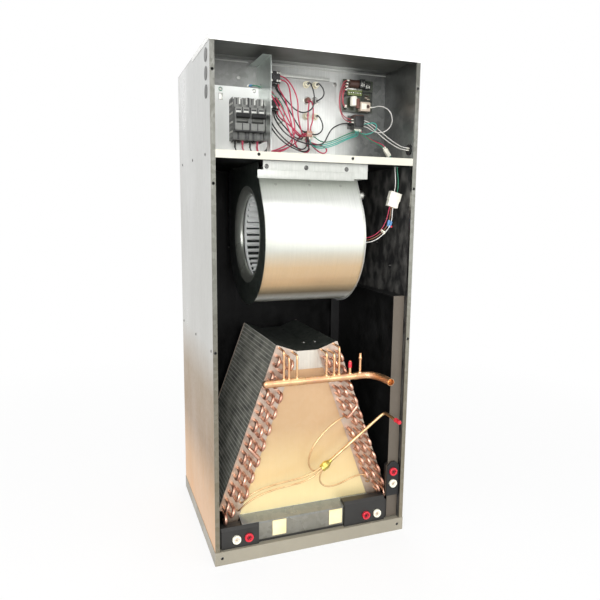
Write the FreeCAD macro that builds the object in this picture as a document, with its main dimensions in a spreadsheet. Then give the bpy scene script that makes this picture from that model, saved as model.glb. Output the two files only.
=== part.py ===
import FreeCAD, Part
import math
import os
from types import SimpleNamespace

import Sketcher
from FreeCAD import Placement, Rotation, Vector

# Vertical air handler: cabinet, electric heat compartment, double inlet blower, A coil and drain pans.
# Millimetres, +X to the right of the service side, +Y to the back, +Z up, origin under the base's middle.

sizes = {
    # Cabinet
    "cabinet_width": 622.0,
    "cabinet_depth": 533.0,
    "cabinet_height": 1473.0,
    "gauge": 1.0,
    "flange_width": 13.0,
    "flange_lip": 9.0,
    "base_height": 42.0,
    "base_ledge": 26.0,
    "base_shelf": 40.0,
    "cap_height": 13.0,
    "cap_depth": 252.0,
    "duct_flange": 19.0,
    "liner_thickness": 12.0,
    "compartment_height": 306.0,
    "deck_rail": 21.0,
    "fit_gap": 0.3,
    # Knockout plugs in the left side and wire grommet in the right side
    "knockout_radius": 15.9,
    "knockout_pitch": 46.5,
    "knockout_inset": 50.5,
    "knockout_drop": 40.0,
    "plug_rim": 2.0,
    "plug_depth": 6.0,
    "grommet_hole": 13.0,
    "grommet_inset": 46.0,
    "grommet_rise": 50.0,
    "grommet_rim": 3.0,
    "grommet_wall": 4.0,
    "lead_hole_radius": 10.0,
    "lead_hole_side": 34.0,
    "lead_hole_inset": 66.0,
    # Electric compartment
    "compartment_depth": 210.0,
    "wall_flange": 30.0,
    "heater_window_left": -5.0,
    "heater_window_width": 104.0,
    "heater_window_rise": 118.0,
    "heater_window_height": 140.0,
    "breaker_plate_standoff": 24.0,
    "breaker_plate_height": 220.0,
    "breaker_plate_margin": 6.0,
    "divider_place": 125.0,
    "divider_reach": 143.5,
    "divider_headroom": 17.0,
    "divider_flange": 25.0,
    "wire_window_low": 10.0,
    "wire_window_height": 50.0,
    "wire_window_width": 84.0,
    "ground_hole": 6.0,
    "ground_hole_reach": 38.0,
    "ground_hole_rise": 224.0,
    # Breakers, levers and lugs
    "breaker_width": 44.5,
    "breaker_gap": 0.6,
    "breaker_rise": 64.0,
    "breaker_height": 113.0,
    "breaker_shoulder": 46.0,
    "breaker_nose": 22.0,
    "nose_drop": 24.0,
    "nose_slope": 6.0,
    "slot_width": 34.0,
    "slot_height": 24.0,
    "slot_depth": 22.0,
    "lever_inset": 11.0,
    "lever_hub": 7.5,
    "lever_pin": 2.0,
    "pin_clearance": 0.05,
    "lever_reach": 26.0,
    "lever_thickness": 9.0,
    "tie_bar_depth": 10.0,
    "tie_bar_overhang": 3.0,
    "lever_tilt": 18.0,
    "lug_width": 13.0,
    "lug_depth": 17.0,
    "lug_height": 12.0,
    "lug_opening": 7.0,
    "ground_lug_place": 268.0,
    "ground_lug_rise": 158.0,
    # Heat kit: plate, elements, bushings, limits and sequencers
    "heater_plate_gauge": 1.2,
    "heater_plate_right": 134.0,
    "heater_plate_top": 264.0,
    "element_radius": 3.2,
    "element_reach": 206.0,
    "element_spread": 30.0,
    "element_place": 47.0,
    "element_low": 154.0,
    "element_pitch": 94.0,
    "bushing_radius": 8.0,
    "bushing_collar": 10.5,
    "bushing_front": 12.0,
    "bushing_collar_depth": 5.0,
    "bushing_neck": 6.2,
    "bushing_back": 9.0,
    "bushing_flats": 8.0,
    "stud_length": 22.0,
    "rack_plate_width": 88.0,
    "rack_plate_height": 130.0,
    "rack_rod": 3.0,
    "rack_rod_spread": 64.0,
    "limit_flange": 12.5,
    "limit_radius": 8.5,
    "limit_depth": 15.0,
    "limit_rise": 201.0,
    "limit_place": 36.0,
    "limit_spread": 26.0,
    "splice_left": 28.0,
    "splice_width": 18.0,
    "splice_rise": 90.0,
    "splice_height": 18.0,
    "splice_depth": 26.0,
    "sequencer_width": 42.0,
    "sequencer_height": 36.0,
    "sequencer_depth": 34.0,
    "sequencer_head": 12.0,
    "sequencer_step": 6.0,
    "sequencer_place": 84.0,
    "sequencer_low": 178.0,
    "sequencer_pitch": 76.0,
    # Control board and transformer
    "board_left": 152.0,
    "board_width": 104.0,
    "board_headroom": 30.0,
    "board_height": 98.0,
    "board_thickness": 1.6,
    "standoff_length": 12.0,
    "standoff_radius": 3.0,
    "standoff_inset": 6.0,
    "relay_width": 32.0,
    "relay_height": 26.0,
    "relay_depth": 28.0,
    "strip_height": 11.0,
    "strip_depth": 13.0,
    "transformer_width": 56.0,
    "transformer_height": 42.0,
    "transformer_depth": 26.0,
    "transformer_foot": 12.0,
    "transformer_gap": 10.0,
    "winding_bulge": 9.0,
    "winding_width": 30.0,
    # Blower housing
    "blower_width": 312.0,
    "blower_front_gap": 21.5,
    "axis_drop": 211.0,
    "scroll_radius": 196.0,
    "scroll_growth": 28.8,
    "scroll_start": 30.0,
    "scroll_lead": 84.0,
    "side_plate_rim": 7.0,
    "inlet_radius": 147.0,
    "inlet_curl": 22.0,
    "cutoff_ahead": 8.0,
    "cutoff_gap": 15.0,
    "outlet_margin": 5.0,
    "bracket_face": 24.0,
    "bracket_height": 42.0,
    "bracket_overhang": 4.0,
    # Blower wheel, shaft and motor
    "wheel_radius": 140.0,
    "wheel_length": 254.0,
    "wheel_ring": 9.0,
    "blade_depth": 19.0,
    "blade_count": 40.0,
    "blade_thickness": 1.0,
    "blade_sweep": 5.0,
    "disc_thickness": 2.0,
    "hub_radius": 19.0,
    "hub_length": 36.0,
    "shaft_radius": 6.35,
    "shaft_overhang": 8.0,
    "shaft_seat": 22.0,
    "shaft_clearance": 0.05,
    "motor_radius": 68.0,
    "motor_length": 116.0,
    "motor_start": 40.0,
    "motor_rounding": 9.0,
    "motor_boss": 20.0,
    "motor_boss_length": 8.0,
    "band_width": 24.0,
    "band_thickness": 2.0,
    "band_place": 66.0,
    "arm_width": 20.0,
    "arm_thickness": 3.0,
    "arm_foot": 176.0,
    "capacitor_radius": 20.0,
    "capacitor_length": 66.0,
    "capacitor_front": 142.0,
    "capacitor_rise": 120.0,
    "capacitor_rim": 1.5,
    # Wires and plugs
    "power_wire": 1.7,
    "control_wire": 1.1,
    "motor_wire": 1.3,
    "wire_sides": 4.0,
    "lead_plug_side": 33.0,
    "lead_plug_setback": 126.5,
    "lead_plug_rise": 47.0,
    "lead_plug_width": 12.0,
    "lead_plug_depth": 10.0,
    "lead_plug_height": 26.0,
    "lead_plug_lean": -35.0,
    "motor_plug_side": 41.0,
    "motor_plug_setback": 61.5,
    "motor_plug_drop": 99.0,
    "motor_plug_width": 38.0,
    "motor_plug_depth": 18.0,
    "motor_plug_height": 46.0,
    "motor_plug_lean": 16.0,
    # A coil
    "coil_offset": 9.0,
    "coil_setback": 44.5,
    "coil_side_gap": 11.0,
    "coil_headroom": 125.7,
    "slab_depth": 372.0,
    "slab_thickness": 66.0,
    "slab_top": 97.1,
    "slab_rise": 140.0,
    "fin_pitch": 24.0,
    "fin_groove": 2.0,
    "tube_sheet_gauge": 1.5,
    "sheet_margin": 2.0,
    "tube_pitch": 25.4,
    "row_count": 3.0,
    "tube_radius": 4.76,
    "bend_stub": 6.0,
    "bend_chords": 3.0,
    "tube_sides": 6.0,
    "delta_gauge": 0.8,
    "apron_height": 56.0,
    # Refrigerant lines
    "suction_radius": 11.1,
    "suction_ahead": 42.0,
    "suction_drop": 103.3,
    "suction_left": 163.0,
    "suction_corner": 206.0,
    "suction_bend": 26.0,
    "suction_reach": 75.5,
    "suction_socket": 30.0,
    "feeder_bend": 16.0,
    "port_radius": 4.0,
    "red_port_place": 116.0,
    "red_port_height": 38.0,
    "plain_port_place": 150.0,
    "plain_port_height": 60.0,
    "liquid_radius": 4.76,
    "liquid_low": 268.0,
    "liquid_start": 60.0,
    "liquid_drop": 129.0,
    "liquid_side_gap": 18.0,
    "liquid_bend": 22.0,
    "liquid_reach": 77.5,
    "distributor_radius": 10.0,
    "distributor_length": 40.0,
    "capillary_radius": 2.4,
    "capillary_sides": 5.0,
    "cap_wall": 1.6,
    "line_cap_length": 26.0,
    "port_cap_length": 22.0,
    # Drain pans and plugs
    "pan_setback": 16.0,
    "pan_wall": 3.0,
    "pan_top": 106.0,
    "pan_side_gap": 2.0,
    "pan_trough": 84.0,
    "pan_dam": 58.0,
    "pan_front_trough": 46.0,
    "drain_box_setback": 8.0,
    "drain_box_top": 122.0,
    "drain_box_depth": 34.0,
    "drain_box_chamfer": 8.0,
    "right_box_inset": 10.0,
    "right_box_width": 141.0,
    "left_box_inset": 5.0,
    "left_box_width": 114.0,
    "front_rail_gap": 2.0,
    "front_rail_rise": 8.0,
    "foam_width": 44.0,
    "foam_height": 48.0,
    "foam_thickness": 3.0,
    "foam_left_gap": 44.0,
    "foam_right_gap": 7.0,
    "side_pan_depth": 37.0,
    "side_pan_top": 774.0,
    "side_pan_gap": 16.5,
    "side_box_low": 121.0,
    "side_box_top": 236.0,
    "side_box_width": 43.0,
    "side_box_chamfer": 14.0,
    "drain_bore": 10.0,
    "drain_plug_radius": 13.0,
    "drain_plug_head": 7.0,
    "drain_plug_depth": 14.0,
    "drain_plug_recess": 4.0,
    "drain_plug_socket": 5.0,
    "drain_plug_flats": 6.0,
    "drain_height": 69.0,
    "left_white_plug": 45.0,
    "left_red_plug": 83.0,
    "right_red_plug": 66.0,
    "right_white_plug": 27.0,
    "side_red_plug": 203.0,
    "side_white_plug": 163.0,
}

doc = FreeCAD.newDocument("air_handler")
sheet = doc.addObject("Spreadsheet::Sheet", "Sizes")
for row, (alias, number) in enumerate(sizes.items(), 1):
    sheet.set(f"A{row}", alias.replace("_", " "))
    sheet.set(f"B{row}", str(number))
    sheet.setAlias(f"B{row}", alias)
doc.recompute()


class Dim:
    """A size, or a sum of sizes, with its formula in the sheet and its present number."""

    def __init__(self, formula, number):
        self.formula = formula
        self.number = number

    def __add__(self, other):
        return joined(self, "+", other)

    def __sub__(self, other):
        return joined(self, "-", other)

    def __mul__(self, other):
        return joined(self, "*", other)

    def __truediv__(self, other):
        return joined(self, "/", other)

    def __radd__(self, other):
        return joined(other, "+", self)

    def __rsub__(self, other):
        return joined(other, "-", self)

    def __rmul__(self, other):
        return joined(other, "*", self)

    def __neg__(self):
        return joined(0.0, "-", self)

    def __float__(self):
        return self.number


def dim(amount):
    return amount if isinstance(amount, Dim) else Dim(repr(float(amount)), float(amount))


def joined(first, sign, second):
    one, two = dim(first), dim(second)
    results = {
        "+": one.number + two.number,
        "-": one.number - two.number,
        "*": one.number * two.number,
        "/": one.number / two.number if two.number else 0.0,
    }
    return Dim(f"({one.formula} {sign} {two.formula})", results[sign])


def sine(angle):
    return Dim(f"sin({angle.formula})", math.sin(math.radians(angle.number)))


def cosine(angle):
    return Dim(f"cos({angle.formula})", math.cos(math.radians(angle.number)))


def arctangent(ratio):
    return Dim(f"atan({ratio.formula})", math.degrees(math.atan(ratio.number)))


def worked_out(alias, amount):
    # A value that follows from others, with a row of its own in the sheet
    row = len(sizes) + len(followers) + 1
    followers.append(alias)
    sheet.set(f"A{row}", alias.replace("_", " "))
    sheet.set(f"B{row}", "=" + amount.formula.replace("Sizes.", ""))
    sheet.setAlias(f"B{row}", alias)
    doc.recompute()
    return Dim(f"Sizes.{alias}", amount.number)


followers = []
size = SimpleNamespace(**{alias: Dim(f"Sizes.{alias}", float(sheet.get(alias))) for alias in sizes})

# Faces that several sub-parts share
half_width = size.cabinet_width / 2
half_depth = size.cabinet_depth / 2
panel_x = half_width - size.gauge
wall_x = panel_x - size.gauge
front_y = size.gauge - half_depth
rear_y = half_depth - size.gauge
back_y = rear_y - size.gauge
floor_z = size.gauge
top_z = size.cabinet_height - size.gauge
cap_rear = size.cap_depth - half_depth
opening_x = panel_x - size.flange_width
liner_x = wall_x - size.liner_thickness
deck_z = size.cabinet_height - size.compartment_height
deck_top = deck_z + size.gauge
plenum_y = size.compartment_depth - half_depth
divider_x = -size.divider_place
plate_y = plenum_y - size.breaker_plate_standoff
heater_y = plenum_y - size.heater_plate_gauge
axis_y = front_y + size.blower_front_gap + size.scroll_radius
axis_z = deck_z - size.axis_drop
blower_x = size.blower_width / 2
pan_bottom = size.base_height
pan_front = front_y + size.pan_setback
pan_reach = liner_x - size.pan_side_gap
pan_right = pan_reach - size.side_pan_depth - size.pan_side_gap
box_front = front_y + size.drain_box_setback
side_pan_back = back_y - size.liner_thickness - size.side_pan_gap

# The coil fills the room between the pan and the blower, and its slabs lean from their feet to their tops
coil_front = -(pan_front + size.coil_setback)
slab_foot = liner_x - size.coil_side_gap - size.coil_offset
coil_rise = axis_z - size.scroll_radius - size.coil_headroom - size.slab_rise
coil_lean = worked_out("coil_lean", arctangent((slab_foot - size.slab_top) / coil_rise))
slab_length = worked_out("slab_length", coil_rise / cosine(coil_lean))
bend_count = int((float(slab_length / size.tube_pitch) - 0.5) / 2)
suction_front = coil_front + size.suction_ahead
suction_z = size.slab_rise + coil_rise - size.suction_drop
suction_end = half_depth + size.suction_reach
liquid_high = suction_z - size.liquid_drop
liquid_corner = pan_reach - size.side_pan_depth - size.liquid_side_gap
liquid_end = half_depth + size.liquid_reach

nodes = []


def keep(thing, label):
    thing.Label = label
    nodes.append(thing)
    return thing


def bind(thing, prop, amount):
    thing.setExpression(prop, dim(amount).formula)


def point(*amounts):
    return Vector(*(float(amount) for amount in amounts))


def set_place(thing, corner):
    for axis, amount in zip("xyz", corner):
        bind(thing, f".Placement.Base.{axis}", amount)


# Sketches on a body's own planes


def new_sketch(body, role, offset):
    drawing = body.newObject("Sketcher::SketchObject", f"{body.Name}_sketch")
    plane = next(face for face in body.Origin.OriginFeatures if face.Role == role)
    drawing.AttachmentSupport = [(plane, "")]
    drawing.MapMode = "FlatFace"
    bind(drawing, "AttachmentOffset.Base.z", offset)
    return drawing


def pin_down(drawing, index, position, spot):
    across = drawing.addConstraint(Sketcher.Constraint("DistanceX", -1, 1, index, position, float(spot[0])))
    drawing.setExpression(f"Constraints[{across}]", dim(spot[0]).formula)
    along = drawing.addConstraint(Sketcher.Constraint("DistanceY", -1, 1, index, position, float(spot[1])))
    drawing.setExpression(f"Constraints[{along}]", dim(spot[1]).formula)


def draw_loop(drawing, spots):
    first = drawing.GeometryCount
    count = len(spots)
    for index, spot in enumerate(spots):
        following = spots[(index + 1) % count]
        drawing.addGeometry(Part.LineSegment(point(*spot, 0), point(*following, 0)), False)
    for index in range(count):
        joint = Sketcher.Constraint("Coincident", first + index, 2, first + (index + 1) % count, 1)
        drawing.addConstraint(joint)
    for index, spot in enumerate(spots):
        pin_down(drawing, first + index, 1, spot)


def draw_circle(drawing, spot, radius):
    index = drawing.GeometryCount
    drawing.addGeometry(Part.Circle(point(*spot, 0), Vector(0, 0, 1), float(radius)), False)
    round_size = drawing.addConstraint(Sketcher.Constraint("Radius", index, float(radius)))
    drawing.setExpression(f"Constraints[{round_size}]", dim(radius).formula)
    pin_down(drawing, index, 3, spot)


def rectangle(left, low, right, high):
    return [(left, low), (right, low), (right, high), (left, high)]


def new_body(label):
    return doc.addObject("PartDesign::Body", label)


def add_pad(body, role, spots, start, end):
    # The XZ plane faces -Y, so its offset and its pad run the other way
    turned = role == "XZ_Plane"
    drawing = new_sketch(body, role, -start if turned else start)
    draw_loop(drawing, spots)
    pad = body.newObject("PartDesign::Pad", f"{body.Name}_pad")
    pad.Profile = drawing
    pad.Reversed = turned
    bind(pad, "Length", end - start)
    return pad


def cut_through(body, role, loops=(), circles=()):
    drawing = new_sketch(body, role, 0.0)
    for spots in loops:
        draw_loop(drawing, spots)
    for spot, radius in circles:
        draw_circle(drawing, spot, radius)
    cut = body.newObject("PartDesign::Pocket", f"{body.Name}_cut")
    cut.Profile = drawing
    cut.Type = "ThroughAll"
    cut.Midplane = True
    return cut


def cut_pocket(body, role, spots, start, depth, forwards):
    drawing = new_sketch(body, role, -start if role == "XZ_Plane" else start)
    draw_loop(drawing, spots)
    cut = body.newObject("PartDesign::Pocket", f"{body.Name}_pocket")
    cut.Profile = drawing
    cut.Reversed = forwards
    bind(cut, "Length", depth)
    return cut


def extruded(label, role, spots, start, end):
    body = new_body(label)
    add_pad(body, role, spots, start, end)
    return body


def turned_body(label, spots, centre):
    # A piece of revolution about the X direction: spots are (along X, radius) from its centre
    body = new_body(label)
    drawing = new_sketch(body, "XY_Plane", 0.0)
    draw_loop(drawing, spots)
    turn = body.newObject("PartDesign::Revolution", f"{label}_turn")
    turn.Profile = drawing
    turn.ReferenceAxis = (drawing, ["H_Axis"])
    turn.Angle = 360.0
    set_place(body, centre)
    return body


# Primitives and groups


def block(label, low, high):
    box = doc.addObject("Part::Box", label)
    for prop, least, most in zip(("Length", "Width", "Height"), low, high):
        bind(box, prop, most - least)
    set_place(box, low)
    return box


def rod(label, start, radius, length, along):
    cylinder = doc.addObject("Part::Cylinder", label)
    bind(cylinder, "Radius", radius)
    bind(cylinder, "Height", length)
    cylinder.Placement = Placement(Vector(), Rotation(Vector(0, 0, 1), along))
    set_place(cylinder, start)
    return cylinder


def prism(label, start, radius, length, along, sides):
    bar = doc.addObject("Part::Prism", label)
    bar.Polygon = int(float(sides))
    bind(bar, "Circumradius", radius)
    bind(bar, "Height", length)
    bar.Placement = Placement(Vector(), Rotation(Vector(0, 0, 1), along))
    set_place(bar, start)
    return bar


def fused(label, things):
    union = doc.addObject("Part::MultiFuse", label)
    union.Shapes = things
    return union


def cut_out(label, base, tool):
    difference = doc.addObject("Part::Cut", label)
    difference.Base = base
    difference.Tool = tool
    return difference


def group(label, things):
    compound = doc.addObject("Part::Compound", label)
    compound.Links = things
    return compound


def feature(label, shape):
    thing = doc.addObject("Part::Feature", label)
    thing.Shape = shape
    thing.Placement = Placement()
    return thing


RIGHT = Vector(1, 0, 0)
BACK = Vector(0, 1, 0)
UP = Vector(0, 0, 1)


# Cabinet


def side_panel(label, side):
    outer = side * panel_x
    inner = side * wall_x
    edge = side * opening_x
    fold = edge + side * size.gauge
    lip = front_y + size.flange_lip
    spots = [
        (outer, front_y),
        (edge, front_y),
        (edge, lip),
        (fold, lip),
        (fold, front_y + size.gauge),
        (inner, front_y + size.gauge),
        (inner, rear_y),
        (outer, rear_y),
    ]
    return extruded(label, "XY_Plane", spots, floor_z, top_z)


def knockout_spots():
    depth = size.knockout_inset - half_depth
    return [(depth, size.cabinet_height - size.knockout_drop - size.knockout_pitch * k) for k in range(3)]


def left_side_panel():
    panel = side_panel("left_side_panel", -1)
    cut_through(panel, "YZ_Plane", circles=[(spot, size.knockout_radius) for spot in knockout_spots()])
    return panel


def grommet_spot():
    return size.grommet_inset - half_depth, deck_top + size.grommet_rise


def right_side_panel():
    panel = side_panel("right_side_panel", 1)
    cut_through(panel, "YZ_Plane", circles=[(grommet_spot(), size.grommet_hole)])
    return panel


def rear_panel():
    fold = wall_x - size.gauge
    hem = rear_y - size.flange_width
    spots = [
        (-wall_x, rear_y),
        (wall_x, rear_y),
        (wall_x, hem),
        (fold, hem),
        (fold, back_y),
        (-fold, back_y),
        (-fold, hem),
        (-wall_x, hem),
    ]
    return extruded("rear_panel", "XY_Plane", spots, floor_z, top_z)


def base_frame():
    # Bottom tray, open to the return air, with a shelf in front and an upstand behind that carry the drain pan
    tray = extruded("base_frame", "XY_Plane",
                    rectangle(-half_width, -half_depth, half_width, half_depth), dim(0.0), size.base_height)
    cut_pocket(tray, "XY_Plane", rectangle(-panel_x, front_y, panel_x, rear_y),
               size.base_height, size.base_height - size.gauge, False)
    inner_x = panel_x - size.base_ledge
    cut_through(tray, "XY_Plane",
                [rectangle(-inner_x, front_y + size.base_ledge, inner_x, rear_y - size.base_ledge)])
    add_pad(tray, "XY_Plane", rectangle(-opening_x, -half_depth, opening_x, front_y + size.base_shelf),
            size.base_height - size.gauge, size.base_height)
    rest = rear_y - size.base_ledge
    add_pad(tray, "XY_Plane", rectangle(-inner_x, rest, inner_x, rest + size.gauge), dim(0.0), size.base_height)
    return tray


def top_cap():
    low = size.cabinet_height - size.cap_height
    cap = extruded("top_cap", "XY_Plane",
                   rectangle(-half_width, -half_depth, half_width, cap_rear), low, size.cabinet_height)
    cut_pocket(cap, "XY_Plane", rectangle(-panel_x, front_y, panel_x, cap_rear + size.gauge),
               low, size.cap_height - size.gauge, True)
    return cap


def supply_frame():
    frame = extruded("supply_frame", "XY_Plane",
                     rectangle(-panel_x, cap_rear, panel_x, rear_y), top_z, size.cabinet_height)
    inner_x = panel_x - size.duct_flange
    cut_through(frame, "XY_Plane",
                [rectangle(-inner_x, cap_rear + size.duct_flange, inner_x, rear_y - size.duct_flange)])
    return frame


def outlet_front():
    return axis_y - size.cutoff_ahead + size.gauge


def outlet_back():
    return axis_y + size.scroll_radius + size.scroll_growth


def blower_deck():
    lip = front_y + size.flange_lip
    hem = rear_y - size.flange_width
    fold = wall_x - size.gauge
    spots = [
        (-opening_x, front_y),
        (opening_x, front_y),
        (opening_x, lip),
        (wall_x, lip),
        (wall_x, hem),
        (fold, hem),
        (fold, back_y),
        (-fold, back_y),
        (-fold, hem),
        (-wall_x, hem),
        (-wall_x, lip),
        (-opening_x, lip),
    ]
    deck = extruded("blower_deck", "XY_Plane", spots, deck_z, deck_top)
    add_pad(deck, "XY_Plane", rectangle(-opening_x, front_y, opening_x, front_y + size.gauge),
            deck_z, deck_z + size.deck_rail)
    outlet_x = blower_x - size.outlet_margin
    lead_spot = (half_width - size.lead_hole_side, size.lead_hole_inset - half_depth)
    lead_hole = (lead_spot, size.lead_hole_radius)
    cut_through(deck, "XY_Plane", [rectangle(-outlet_x, outlet_front(), outlet_x, outlet_back())], [lead_hole])
    return deck


def plenum_wall():
    fold = plenum_y - size.wall_flange
    spots = [
        (plenum_y, deck_top),
        (plenum_y + size.gauge, deck_top),
        (plenum_y + size.gauge, top_z),
        (fold, top_z),
        (fold, top_z - size.gauge),
        (plenum_y, top_z - size.gauge),
    ]
    wall = extruded("plenum_wall", "YZ_Plane", spots, -wall_x, wall_x)
    left, low = size.heater_window_left, deck_top + size.heater_window_rise
    window = rectangle(left, low, left + size.heater_window_width, low + size.heater_window_height)
    cut_through(wall, "XZ_Plane", [window])
    return wall


def cabinet_liners():
    front = front_y + size.flange_lip + size.fit_gap
    back = rear_y - size.flange_width - size.fit_gap
    left = block("left_liner", (-wall_x, front, floor_z), (-liner_x, back, deck_z))
    right = block("right_liner", (liner_x, front, floor_z), (wall_x, back, deck_z))
    reach = liner_x - size.fit_gap
    rear = block("rear_liner", (-reach, back_y - size.liner_thickness, floor_z), (reach, back_y, deck_z))
    return group("cabinet_liners", [left, right, rear])


def hole_plugs():
    plugs = []
    for k, (depth, height) in enumerate(knockout_spots()):
        head = rod(f"plug_head_{k}", (-half_width, depth, height), size.knockout_radius + size.plug_rim,
                   size.gauge, RIGHT)
        core = rod(f"plug_core_{k}", (-panel_x, depth, height), size.knockout_radius - size.fit_gap,
                   size.plug_depth, RIGHT)
        plugs.append(fused(f"hole_plug_{k}", [head, core]))
    return group("hole_plugs", plugs)


def wire_grommet():
    # Rubber bush with a thin membrane, through which the low voltage wires go out
    depth, height = grommet_spot()
    rim = size.grommet_hole + size.grommet_rim
    flange = rod("grommet_flange", (wall_x - size.grommet_rim, depth, height), rim, size.grommet_rim, RIGHT)
    neck = rod("grommet_neck", (wall_x, depth, height), size.grommet_hole - size.fit_gap, size.gauge, RIGHT)
    bore = rod("grommet_bore", (wall_x - size.grommet_rim, depth, height), size.grommet_hole - size.grommet_wall,
               size.grommet_rim, RIGHT)
    return cut_out("wire_grommet", fused("grommet_ring", [flange, neck]), bore)


# Electric compartment


def breaker_plate():
    top = deck_top + size.breaker_plate_height
    spots = [
        (plate_y, deck_top),
        (plate_y + size.gauge, deck_top),
        (plate_y + size.gauge, top - size.gauge),
        (plenum_y, top - size.gauge),
        (plenum_y, top),
        (plate_y, top),
    ]
    return extruded("breaker_plate", "YZ_Plane", spots, size.breaker_plate_margin - wall_x,
                    divider_x - size.fit_gap)


def breaker_divider():
    top = top_z - size.divider_headroom
    spots = [
        (divider_x, deck_top),
        (divider_x + size.gauge, deck_top),
        (divider_x + size.gauge, top),
        (divider_x - size.divider_flange, top),
        (divider_x - size.divider_flange, top - size.gauge),
        (divider_x, top - size.gauge),
    ]
    plate = extruded("breaker_divider", "XZ_Plane", spots, plenum_y - size.divider_reach, plenum_y)
    low = deck_top + size.wire_window_low
    front = plate_y - size.wire_window_width
    ground = ((plenum_y - size.ground_hole_reach, deck_top + size.ground_hole_rise), size.ground_hole)
    cut_through(plate, "YZ_Plane", [rectangle(front, low, plate_y, low + size.wire_window_height)], [ground])
    return plate


def breaker_left(index):
    block_width = size.breaker_width * 2 + size.breaker_gap
    return divider_x - size.fit_gap * 4 - block_width + (size.breaker_width + size.breaker_gap) * index


def breaker_base():
    return deck_top + size.breaker_rise


def nose_front():
    return plate_y - size.breaker_shoulder - size.breaker_nose


def lever_axis():
    return nose_front() + size.lever_inset, breaker_base() + size.breaker_height / 2


def breaker_body(index):
    left = breaker_left(index)
    low = breaker_base()
    high = low + size.breaker_height
    shoulder = plate_y - size.breaker_shoulder
    nose = nose_front()
    spots = [
        (plate_y, low),
        (shoulder, low),
        (shoulder, low + size.nose_drop),
        (nose, low + size.nose_drop + size.nose_slope),
        (nose, high - size.nose_drop - size.nose_slope),
        (shoulder, high - size.nose_drop),
        (shoulder, high),
        (plate_y, high),
    ]
    body = extruded(f"breaker_body_{index + 1}", "YZ_Plane", spots, left, left + size.breaker_width)
    pivot_y, pivot_z = lever_axis()
    middle = left + size.breaker_width / 2
    slot = rectangle(middle - size.slot_width / 2, pivot_z - size.slot_height / 2,
                     middle + size.slot_width / 2, pivot_z + size.slot_height / 2)
    cut_pocket(body, "XZ_Plane", slot, nose, size.slot_depth, False)
    cut_through(body, "YZ_Plane", circles=[((pivot_y, pivot_z), size.lever_pin + size.pin_clearance)])
    return body


def breaker_lever(index):
    # Built about its own pivot, then turned up to the closed position
    width = size.slot_width - size.fit_gap * 4
    hub = rod(f"lever_hub_{index}", (-width / 2, dim(0.0), dim(0.0)), size.lever_hub, width, RIGHT)
    pin_length = size.breaker_width - size.gauge * 2
    pin = rod(f"lever_pin_{index}", (-pin_length / 2, dim(0.0), dim(0.0)), size.lever_pin, pin_length, RIGHT)
    thick = size.lever_thickness / 2
    paddle = block(f"lever_paddle_{index}", (-width / 2, -size.lever_reach, -thick), (width / 2, dim(0.0), thick))
    bar = width / 2 + size.tie_bar_overhang
    tie = block(f"lever_tie_{index}", (-bar, -size.lever_reach - size.gauge, -thick - size.gauge),
                (bar, size.tie_bar_depth - size.lever_reach - size.gauge, thick + size.gauge))
    lever = fused(f"breaker_{index + 1}_lever", [hub, pin, paddle, tie])
    lever.Placement = Placement(Vector(), Rotation(-RIGHT, float(size.lever_tilt)))
    bind(lever, ".Placement.Rotation.Angle", size.lever_tilt)
    pivot_y, pivot_z = lever_axis()
    set_place(lever, (breaker_left(index) + size.breaker_width / 2, pivot_y, pivot_z))
    return lever


def pole_places():
    quarter = size.breaker_width / 4
    return [breaker_left(index) + quarter * side for index in range(2) for side in (1, 3)]


def lug(label, middle, back, low):
    side = size.lug_width / 2
    clamp = block(f"{label}_clamp", (middle - side, back - size.lug_depth, low),
                  (middle + side, back, low + size.lug_height))
    half = size.lug_opening / 2
    seat = back - size.lug_depth / 2
    opening = block(f"{label}_opening", (middle - half, seat - half, low + size.gauge),
                    (middle + half, seat + half, low + size.lug_height))
    return cut_out(label, clamp, opening)


def terminal_lugs():
    lugs = []
    back = plate_y - size.breaker_shoulder / 3
    for k, middle in enumerate(pole_places()):
        lugs.append(lug(f"upper_lug_{k}", middle, back, breaker_base() + size.breaker_height))
        lugs.append(lug(f"lower_lug_{k}", middle, back, breaker_base() - size.lug_height))
    lugs.append(lug("ground_lug", -size.ground_lug_place, plate_y, deck_top + size.ground_lug_rise))
    return group("terminal_lugs", lugs)


# Heat kit


def element_spots():
    low = deck_top + size.element_low
    side = size.element_spread / 2
    return [(size.element_place + sign * side, low + size.element_pitch * k) for k in range(2) for sign in (-1, 1)]


def heater_plate():
    plate = extruded("heater_plate", "XZ_Plane",
                     rectangle(divider_x + size.gauge + size.fit_gap, deck_top, size.heater_plate_right,
                               deck_top + size.heater_plate_top), heater_y, plenum_y)
    hole = size.bushing_neck + size.fit_gap
    cut_through(plate, "XZ_Plane", circles=[(spot, hole) for spot in element_spots()])
    return plate


def terminal_bushings():
    # Ceramic bushings of eight flats, each about one leg of an element
    bushings = []
    flats = size.bushing_flats
    for k, (across, height) in enumerate(element_spots()):
        front = heater_y - size.bushing_collar_depth - size.bushing_front
        neck = prism(f"bushing_neck_{k}", (across, front, height), size.bushing_radius, size.bushing_front,
                     BACK, flats)
        collar = prism(f"bushing_collar_{k}", (across, heater_y - size.bushing_collar_depth, height),
                       size.bushing_collar, size.bushing_collar_depth, BACK, flats)
        tail = prism(f"bushing_tail_{k}", (across, heater_y, height), size.bushing_neck, size.bushing_back,
                     BACK, flats)
        bore = rod(f"bushing_bore_{k}", (across, front, height), size.element_radius,
                   size.bushing_front + size.bushing_collar_depth + size.bushing_back, BACK)
        bushings.append(cut_out(f"bushing_{k}", fused(f"bushing_solid_{k}", [neck, collar, tail]), bore))
    return group("terminal_bushings", bushings)


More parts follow.
